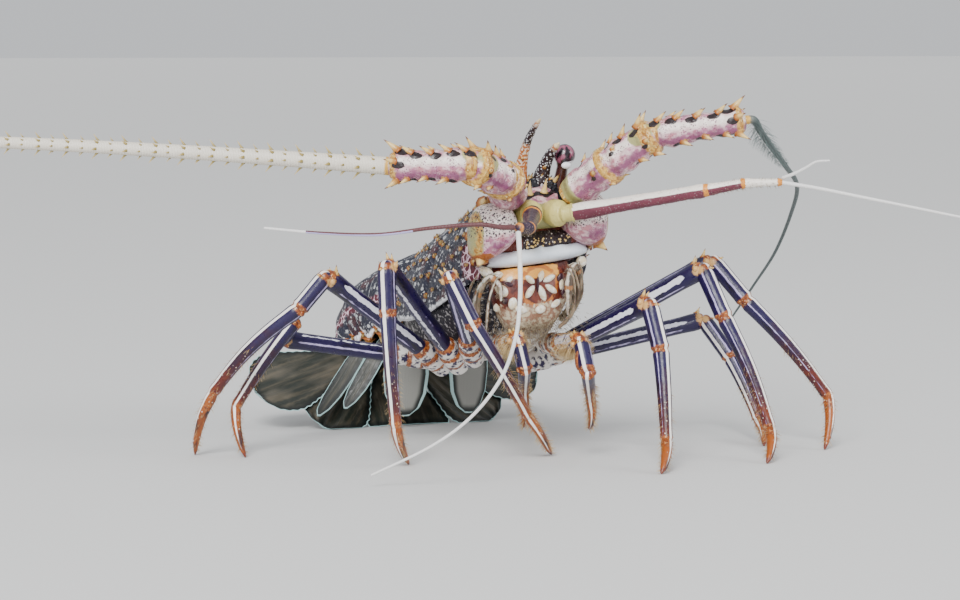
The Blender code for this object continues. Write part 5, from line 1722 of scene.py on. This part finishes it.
def build_claw(leg):
    """The curved claw at the end of a leg."""
    shape = Shape()
    claw = leg.tip - leg.ankle
    curl = leg.outward * 0.07 * np.linalg.norm(claw)
    tip = leg.tip + (0, 0, 0.45) if leg.tip[2] == 0 else leg.tip
    bends = (leg.ankle + claw * 0.4 + curl, leg.ankle + claw * 0.75 + curl * 0.8)
    route = smooth_route((leg.ankle, *bends, tip), 50)
    up = turned(leg.up_lower, leg.lower, unit(claw))
    dactyl = leg.tube(route, CLAW_PROFILE, up, 0.95, sides=24, domes=(0.5, 0.6))
    reach = np.clip(dactyl.run / dactyl.length, 0, 1)
    add_limb(shape, dactyl, leg_marks(
        dactyl, (0.95, 1.25),
        white=dactyl.stripe(leg.turn, 0.7 * leg.scale * (1 - 1.15 * reach)),
        amber=dactyl.band(dactyl.length * 0.2, 1.6),
        rust=dactyl.along(dactyl.run - dactyl.length + 2.0)))
    shape.make(f"leg_{leg.label}_claw", LEG, [f"leg_{leg.label}_lower"])
    return dactyl


def build_leg(label, *sizes):
    """A walking leg, with golden bristles low down and soft hairs on a short thigh."""
    leg = Leg(label, *sizes)
    merus = build_thigh(leg)
    propodus = build_shin(leg)
    dactyl = build_claw(leg)
    build_bristles(leg, ((propodus, 0.45, 90), (dactyl, 0.0, 170)))
    if leg.short:
        build_hip_tuft(leg, merus)


BRISTLE_ROWS = (180, 140, -140, 95, -95, 40, -40)
TUFT_HAIRS = 1300


def build_bristles(leg, rows):
    """Stiff golden bristles along the lower leg and the claw, none of them through the floor."""
    hairs = Shape()
    dense = leg.label.startswith("1") or leg.label == "2_R"
    for place, (limb, start, number) in enumerate(rows):
        for _ in range(int(number * (1.7 if dense else 1.0))):
            run = limb.length * (start + (1 - start) * DRAW.uniform())
            degrees = DRAW.choice(BRISTLE_ROWS) + DRAW.uniform(-12, 12)
            point, out, ahead = limb.spot(run, degrees)
            patch = (0.01 + 0.47 * place + 0.47 * run / limb.length, limb_patch(0, degrees)[1])
            long = DRAW.uniform(1.2, 2.8) * (1.25 if dense else 1.0) * leg.scale
            flow = unit(out * 0.8 + ahead * 0.55)
            if point[2] + flow[2] * long < 0.6:
                continue
            add_hair(hairs, point, flow, long, 0.075, (0, 0, -0.08), patch)
    hairs.make(f"leg_{leg.label}_bristles", GOLD_BRISTLE, [f"leg_{leg.label}_lower"], patched=True)


def build_hip_tuft(leg, limb):
    """The soft hairs on the thighs of the first legs."""
    hairs = Shape()
    for _ in range(TUFT_HAIRS):
        run = limb.length * DRAW.uniform()
        degrees = DRAW.normal(180, 62)
        long = DRAW.uniform(1.6, 4.2)
        add_limb_hair(hairs, limb, run, degrees, 0.3, long, 0.09, (0, 0, -0.6), limb.length)
    hairs.make(f"leg_{leg.label}_thigh_hairs", GOLD_BRISTLE, [f"leg_{leg.label}_upper"], patched=True)


# Abdomen

ABDOMEN_START = (37.2, 66.5)
ABDOMEN_BEND_START = (80.0, 54.5)
ABDOMEN_BEND_RADIUS = 22.0
ABDOMEN_SWAY = -13.0
ABDOMEN_HALF_WIDTHS = (28, 32, 33, 32.5, 31, 29, 25.5)
ABDOMEN_HALF_HEIGHTS = (16.5, 18.5, 18.5, 18, 17, 16, 14)
ABDOMEN_SHARES = (0.0, 0.13, 0.32, 0.50, 0.67, 0.84, 1.0)
TERGITE_OUTLINE = (
    (0.0, 1.0), (0.36, 0.95), (0.66, 0.78), (0.87, 0.5), (0.98, 0.1), (1.02, -0.35), (0.97, -0.9),
    (0.82, -0.5), (0.42, -0.42),
)


def abdomen_frame(share):
    """Middle point, heading and upward direction at a share of the abdomen's curve."""
    start = np.array((0, *ABDOMEN_START))
    bend = np.array((0, *ABDOMEN_BEND_START))
    straight = np.linalg.norm(bend - start)
    heading = (bend - start) / straight
    slope = math.atan2(-heading[2], heading[1])
    run = share * (straight + ABDOMEN_BEND_RADIUS * (math.pi / 2 - slope))
    if run <= straight:
        centre = start + heading * run
        angle = slope
    else:
        angle = slope + (run - straight) / ABDOMEN_BEND_RADIUS
        hub = bend - np.array((0, math.sin(slope), math.cos(slope))) * ABDOMEN_BEND_RADIUS
        centre = hub + np.array((0, math.sin(angle), math.cos(angle))) * ABDOMEN_BEND_RADIUS
    centre[0] = ABDOMEN_SWAY * share ** 2
    ahead = np.array((0, math.cos(angle), -math.sin(angle)))
    return centre, ahead, np.array((0, math.sin(angle), math.cos(angle)))


def abdomen_section(share, half_width, half_height, pleura):
    """A smooth section of the abdomen, from its back round the side plates and the flat underside."""
    centre, _, up = abdomen_frame(share)
    half = [list(point) for point in TERGITE_OUTLINE]
    half[6][1] *= pleura
    right = np.vstack((smooth_route(half[:7], 34), smooth_route(half[6:] + [[0.0, -0.4]], 16)[1:]))
    whole = np.vstack((right, right[-2:0:-1] * (-1, 1)))
    return centre + np.outer(whole[:, 0] * half_width, (1, 0, 0)) + np.outer(whole[:, 1] * half_height, up)


# Size of a ring of the abdomen from its front to its back, as shares of its full size
RING_SWELL = (
    (0.0, 0.915), (0.10, 0.955), (0.26, 0.985), (0.40, 1.0), (0.55, 0.985), (0.90, 1.005), (1.0, 0.99),
)
RING_ROWS = 40
# Column of a ring's section where its side plate ends in a point, counted from the middle of the back
PLEURA_COLUMN = 33


def build_abdomen():
    """Six overlapping rings of the abdomen, each with a groove and side plates, and leaves under four."""
    for index in range(6):
        first, second = ABDOMEN_SHARES[index:index + 2]
        widths = ABDOMEN_HALF_WIDTHS[index:index + 2]
        heights = ABDOMEN_HALF_HEIGHTS[index:index + 2]
        overlap = 0.02 if index < 5 else 0.0
        span = np.linspace(0, 1, RING_ROWS)
        rows = []
        for share in span:
            where = first + (second - first) * share + overlap * share
            grow = float(read_curve(RING_SWELL, share)) - 0.040 * math.exp(-((share - 0.46) / 0.045) ** 2)
            width = (widths[0] + (widths[1] - widths[0]) * share) * grow
            height = (heights[0] + (heights[1] - heights[0]) * share) * grow
            pleura = 0.72 + 0.5 * math.sin(math.pi * min(1, 0.15 + share * 0.85)) ** 1.5
            rows.append(abdomen_section(min(1.0, where), width, height, pleura))
        grid = np.array(rows)
        count = grid.shape[1]
        around = np.arange(count)
        rear = (span - 0.93) * 13
        tips = np.minimum(np.abs(around - PLEURA_COLUMN), np.abs(around - (count - PLEURA_COLUMN)))
        tip_marks = 3.0 - tips * 0.9
        under = (around > PLEURA_COLUMN + 2) & (around < count - PLEURA_COLUMN - 2)
        shape = Shape()
        add_closed(shape, grid, {
            "white": np.maximum(rear[:, None] - 0.2, tip_marks - 1.6),
            "amber": tip_marks - 2.4,
            "maroon": 2.2 - np.abs(tips - 8) * 0.9 - 1.0,
            "dark": np.where(under, 3.0, NO_MARK),
        })
        middle = (first + second) / 2
        _, heading, up = abdomen_frame(middle)
        for place in (PLEURA_COLUMN, count - PLEURA_COLUMN) if index else ():
            for row, size in ((RING_ROWS // 2, 1.0), (RING_ROWS * 3 // 4, 0.6)):
                root = grid[row, place] + up * 0.8
                add_spine(shape, root, heading * 0.55 - up, 5.0 * size, 2.2 * size, finish=1)
        shape.make(f"abdomen_{index + 1}_ring", [SHELL, SPINE], [f"abdomen_{index + 1}"])
        if 0 < index < 5:
            build_leaves(index, middle, heights[0])


# Swimming leaves by ring and side: offset of the root, direction of fall, length and widest width
LEAVES = {
    (1, 1): (12.5, (0, 0.12, -1), 50, 20), (1, -1): (-18.5, (0, 0.12, -1), 50, 20),
    (2, 1): (15.5, (0.05, -0.07, -0.95), 43, 8), (2, -1): (-17, (-0.62, -0.12, -0.93), 45, 9),
    (3, 1): (17, (0.64, -0.40, -0.75), 22, 11), (3, -1): (-20, (-0.8, -0.3, -1), 42, 9),
    (4, 1): (15, (0.47, -0.58, -0.75), 21, 11), (4, -1): (-15, (-0.47, -0.58, -0.75), 21, 11),
}
LEAF_THICKNESS, LEAF_BOW = 0.55, 0.12
LEAF_ROWS, LEAF_COLUMNS = 40, 60
LEAF_OUTLINE = ((0.0, 0.22), (0.12, 0.34), (0.42, 0.98), (0.62, 1.05), (0.8, 0.95), (0.93, 0.66), (1.0, 0.18))


def build_leaves(index, middle, height):
    """A pair of swimming leaves under one ring of the abdomen, with thick pale rims."""
    centre, _, up = abdomen_frame((ABDOMEN_SHARES[index] + middle) / 2)
    front = index == 1
    for label, side in (("L", 1), ("R", -1)):
        offset, fall, reach, widest = LEAVES[index, side]
        root = centre - up * height * 0.40
        root[0] = ABDOMEN_SWAY * middle ** 2 + offset
        across = unit((1, 0.2 * side, 0) if front else (0.75, 0.45 * side, 0))
        grid, edge, place = leaf_grid(root, np.array(fall, float) * reach, across, widest / 2)
        if front:
            edge = edge - np.clip(-side * place[..., 0] / 8, 0, 1) * 1.0
        shape = Shape()
        add_closed(shape, grid, {"edge": edge, "grey": 9.0 if front else -2.6}, place)
        shape.make(f"swimming_leaf_{index + 1}_{label}", FAN, [f"abdomen_{index + 1}"])


def leaf_grid(root, reach, across, half):
    """A thin curved leaf from its root: rings round it, distances to its rim, and its straightened places."""
    normal = unit(np.cross(across, reach))
    length = np.linalg.norm(reach)
    share = 1 - (1 - np.linspace(0, 1, LEAF_ROWS)) ** 1.35
    width = read_curve(LEAF_OUTLINE, share) * half
    flat, over = np.cos(full_turn(LEAF_COLUMNS)), np.sin(full_turn(LEAF_COLUMNS))
    edge_share = 1 - np.abs(flat)
    centre = root + reach * share[:, None] + normal * (LEAF_BOW * length * share * (1 - share))[:, None]
    flank = width[:, None] * flat[None, :]
    level = LEAF_THICKNESS * np.sign(over) * np.minimum(1, edge_share * 6) ** 0.5
    level = np.broadcast_to(level, flank.shape)
    grid = centre[:, None] + across * flank[..., None] + normal * level[..., None]
    far_end = ((1 - share) * length)[:, None]
    edge = np.minimum(width[:, None] * edge_share[None, :], far_end * 0.9 + 0.05)
    down = np.broadcast_to((share * length)[:, None], flank.shape)
    return grid, edge, np.stack((flank, down, np.zeros(flank.shape)), -1)


# Tail fan

FAN_ROOT = np.array((ABDOMEN_SWAY, 94.0, 27.3))
FAN_SLOPE = math.radians(45.0)
FAN_THICKNESS = 1.1
FAN_LAYER = 1.5
BLADE_ROWS, BLADE_COLUMNS = 90, 128
FLOOR_GAP = 0.15
TELSON_OUTLINE = ((0.0, 6.5), (0.35, 11.5), (0.7, 17), (1.0, 20), (1.05, 17.5))
LEAF_RISE = ((0.0, 0.22), (0.25, 0.5), (0.5, 0.8), (0.72, 1.0), (0.88, 0.86), (0.97, 0.52), (1.0, 0.15))


def build_blade(name, side, root_x, degrees, length, outline, layer):
    """A blade of the tail fan: ribs fan out across it to a thin pale rim that waves a little."""
    angle = math.radians(degrees)
    down = np.array((0, -math.cos(FAN_SLOPE), -math.sin(FAN_SLOPE)))
    ahead = np.array((0, -math.sin(FAN_SLOPE), math.cos(FAN_SLOPE)))
    out = np.array((side, 0, 0), float)
    line = down * math.cos(angle) + out * math.sin(angle)
    cross = out * math.cos(angle) - down * math.sin(angle)
    top_share = outline[-1][0]
    share = top_share * (1 - (1 - np.linspace(0, 1, BLADE_ROWS)) ** 1.5)
    run = np.broadcast_to((share * length)[:, None], (BLADE_ROWS, BLADE_COLUMNS))
    width = read_curve(smooth_route(outline, 200), share)
    flat, over = np.cos(full_turn(BLADE_COLUMNS)), np.sin(full_turn(BLADE_COLUMNS))
    edge_share = 1 - np.abs(flat)
    ripple = 0.25 * np.sin(share * length * 1.7)
    across = (width + ripple * (share > 0.3))[:, None] * flat[None, :]
    half = FAN_THICKNESS / 2 * (0.45 + np.clip(1.2 - share[:, None] * 1.4, 0, 1) * 0.7)
    face = np.sign(over)[None, :] * np.minimum(1, edge_share * 8)[None, :] ** 0.5
    level = layer + FAN_THICKNESS / 2 + face * half
    rib = 0.28 * np.cos(flat * 17)[None, :] * np.clip(share, 0, 1)[:, None]
    upturn = 1.4 * (np.abs(flat)[None, :] ** 2) * share[:, None]
    level = level + rib * np.minimum(1, edge_share * 5)[None, :] + upturn
    root = FAN_ROOT + out * root_x
    grid = root + ahead * level[..., None] + line * run[..., None] + cross * across[..., None]
    push = np.where(grid[..., 2] < FLOOR_GAP, (grid[..., 2] - FLOOR_GAP) / line[2], 0)
    grid = grid - line * push[..., None]
    far_side = np.abs(width)[:, None] * edge_share[None, :]
    far_end = ((top_share - share) * length)[:, None]
    floor_end = grid[..., 2] / max(0.2, abs(line[2]))
    edge = np.minimum(np.minimum(far_side, far_end), floor_end * 0.9)
    fan = flat[None, :] * np.clip(width, 4, None)[:, None]
    shape = Shape()
    add_closed(shape, grid, {"edge": edge}, np.stack((fan, run, np.zeros_like(fan)), -1))
    shape.make(f"{name}_blade", FAN, [name])


def build_fan():
    """The telson and the two pairs of side blades."""
    build_blade("telson", 1, 0, 0, 39, TELSON_OUTLINE, 0)
    for label, side in (("L", 1), ("R", -1)):
        inner = [(share, rise * 16) for share, rise in LEAF_RISE]
        outer = [(share, rise * 17.5) for share, rise in LEAF_RISE]
        build_blade(f"endopod_{label}", side, 11, 37, 50, inner, FAN_LAYER)
        build_blade(f"exopod_{label}", side, 15, 71, 57.5, outer, FAN_LAYER * 2)


def build_lobster():
    """Make every piece of the animal."""
    build_shell()
    build_sternum()
    build_epistome()
    build_face_wall()
    build_face_plate()
    build_mouth()
    build_beard()
    for label, side in (("L", 1), ("R", -1)):
        build_maxilliped(label, side)
        build_horn(label)
        build_eye(label)
        build_antenna_base(label, side)
        build_peduncle(label, side)
        build_whip(label)
        build_antennule(label, side)
    build_whip_hairs()
    build_feelers()
    for label, sizes in LEGS.items():
        build_leg(label, *sizes)
    build_abdomen()
    build_fan()


# Camera, floor and light

CAMERA_PLACE = (-389.87, -1174.79, 175.0)
CAMERA_PITCH = 5.119
CAMERA_TURN = -22.0
LENS, SENSOR = 108.0, 36.0
# How far the floor reaches each way, in metres
FLOOR_REACH = 30.0


def build_camera():
    """The photograph's view: low, from ahead and to the animal's right."""
    data = bpy.data.cameras.new("camera")
    data.lens = LENS
    data.sensor_width = SENSOR
    data.clip_start = 0.05
    camera = bpy.data.objects.new("camera", data)
    camera.location = Vector(CAMERA_PLACE) * MILLIMETRE
    camera.rotation_euler = (math.radians(90 - CAMERA_PITCH), 0, math.radians(CAMERA_TURN))
    bpy.context.scene.collection.objects.link(camera)
    bpy.context.scene.camera = camera


def build_floor():
    """A plain pale floor, wide enough to reach the horizon."""
    mesh = bpy.data.meshes.new("floor")
    corners = [(x * FLOOR_REACH, y * FLOOR_REACH, 0) for x, y in ((-1, -1), (1, -1), (1, 1), (-1, 1))]
    mesh.from_pydata(corners, [], [(0, 1, 2, 3)])
    material = bpy.data.materials.new("pale_floor")
    material.use_nodes = True
    nodes = material.node_tree.nodes
    shader = nodes["Principled BSDF"]
    noise = nodes.new("ShaderNodeTexNoise")
    noise.inputs["Scale"].default_value = 3.0
    noise.inputs["Detail"].default_value = 3.0
    ramp = nodes.new("ShaderNodeValToRGB")
    ramp.color_ramp.elements[0].color = (0.66, 0.66, 0.65, 1)
    ramp.color_ramp.elements[1].color = (0.71, 0.71, 0.70, 1)
    material.node_tree.links.new(noise.outputs["Fac"], ramp.inputs["Fac"])
    material.node_tree.links.new(ramp.outputs["Color"], shader.inputs["Base Color"])
    shader.inputs["Roughness"].default_value = 0.75
    mesh.materials.append(material)
    floor = bpy.data.objects.new("floor", mesh)
    bpy.context.scene.collection.objects.link(floor)


# Lights: place in metres, size in metres, power in watts
LIGHTS = {
    "front": ((-1.0, -1.5, 0.9), 0.8, 26),
    "side": ((1.4, -1.1, 0.7), 0.9, 12),
}
LIGHT_TARGET = (0.05, -0.05, 0.08)
SUN_PLACE, SUN_POWER, SUN_DEGREES = (-0.7, -1.2, 1.3), 2.3, 20.0
WORLD_COLOUR, WORLD_STRENGTH = (0.82, 0.84, 0.87, 1), 0.85


def build_lights():
    """Soft studio lights that face the animal, and a pale world."""
    for name, (place, size, power) in LIGHTS.items():
        data = bpy.data.lights.new(name, "AREA")
        data.size = size
        data.energy = power
        light = bpy.data.objects.new(name, data)
        light.location = place
        towards = Vector(LIGHT_TARGET) - Vector(place)
        light.rotation_euler = towards.to_track_quat("-Z", "Y").to_euler()
        bpy.context.scene.collection.objects.link(light)
    data = bpy.data.lights.new("sun", "SUN")
    data.energy = SUN_POWER
    data.angle = math.radians(SUN_DEGREES)
    light = bpy.data.objects.new("sun", data)
    light.location = SUN_PLACE
    light.rotation_euler = Vector(SUN_PLACE).to_track_quat("Z", "Y").to_euler()
    bpy.context.scene.collection.objects.link(light)
    world = bpy.data.worlds.new("studio")
    world.use_nodes = True
    sky = world.node_tree.nodes["Background"]
    sky.inputs["Color"].default_value = WORLD_COLOUR
    sky.inputs["Strength"].default_value = WORLD_STRENGTH
    bpy.context.scene.world = world


build_lobster()
build_camera()
build_floor()
build_lights()
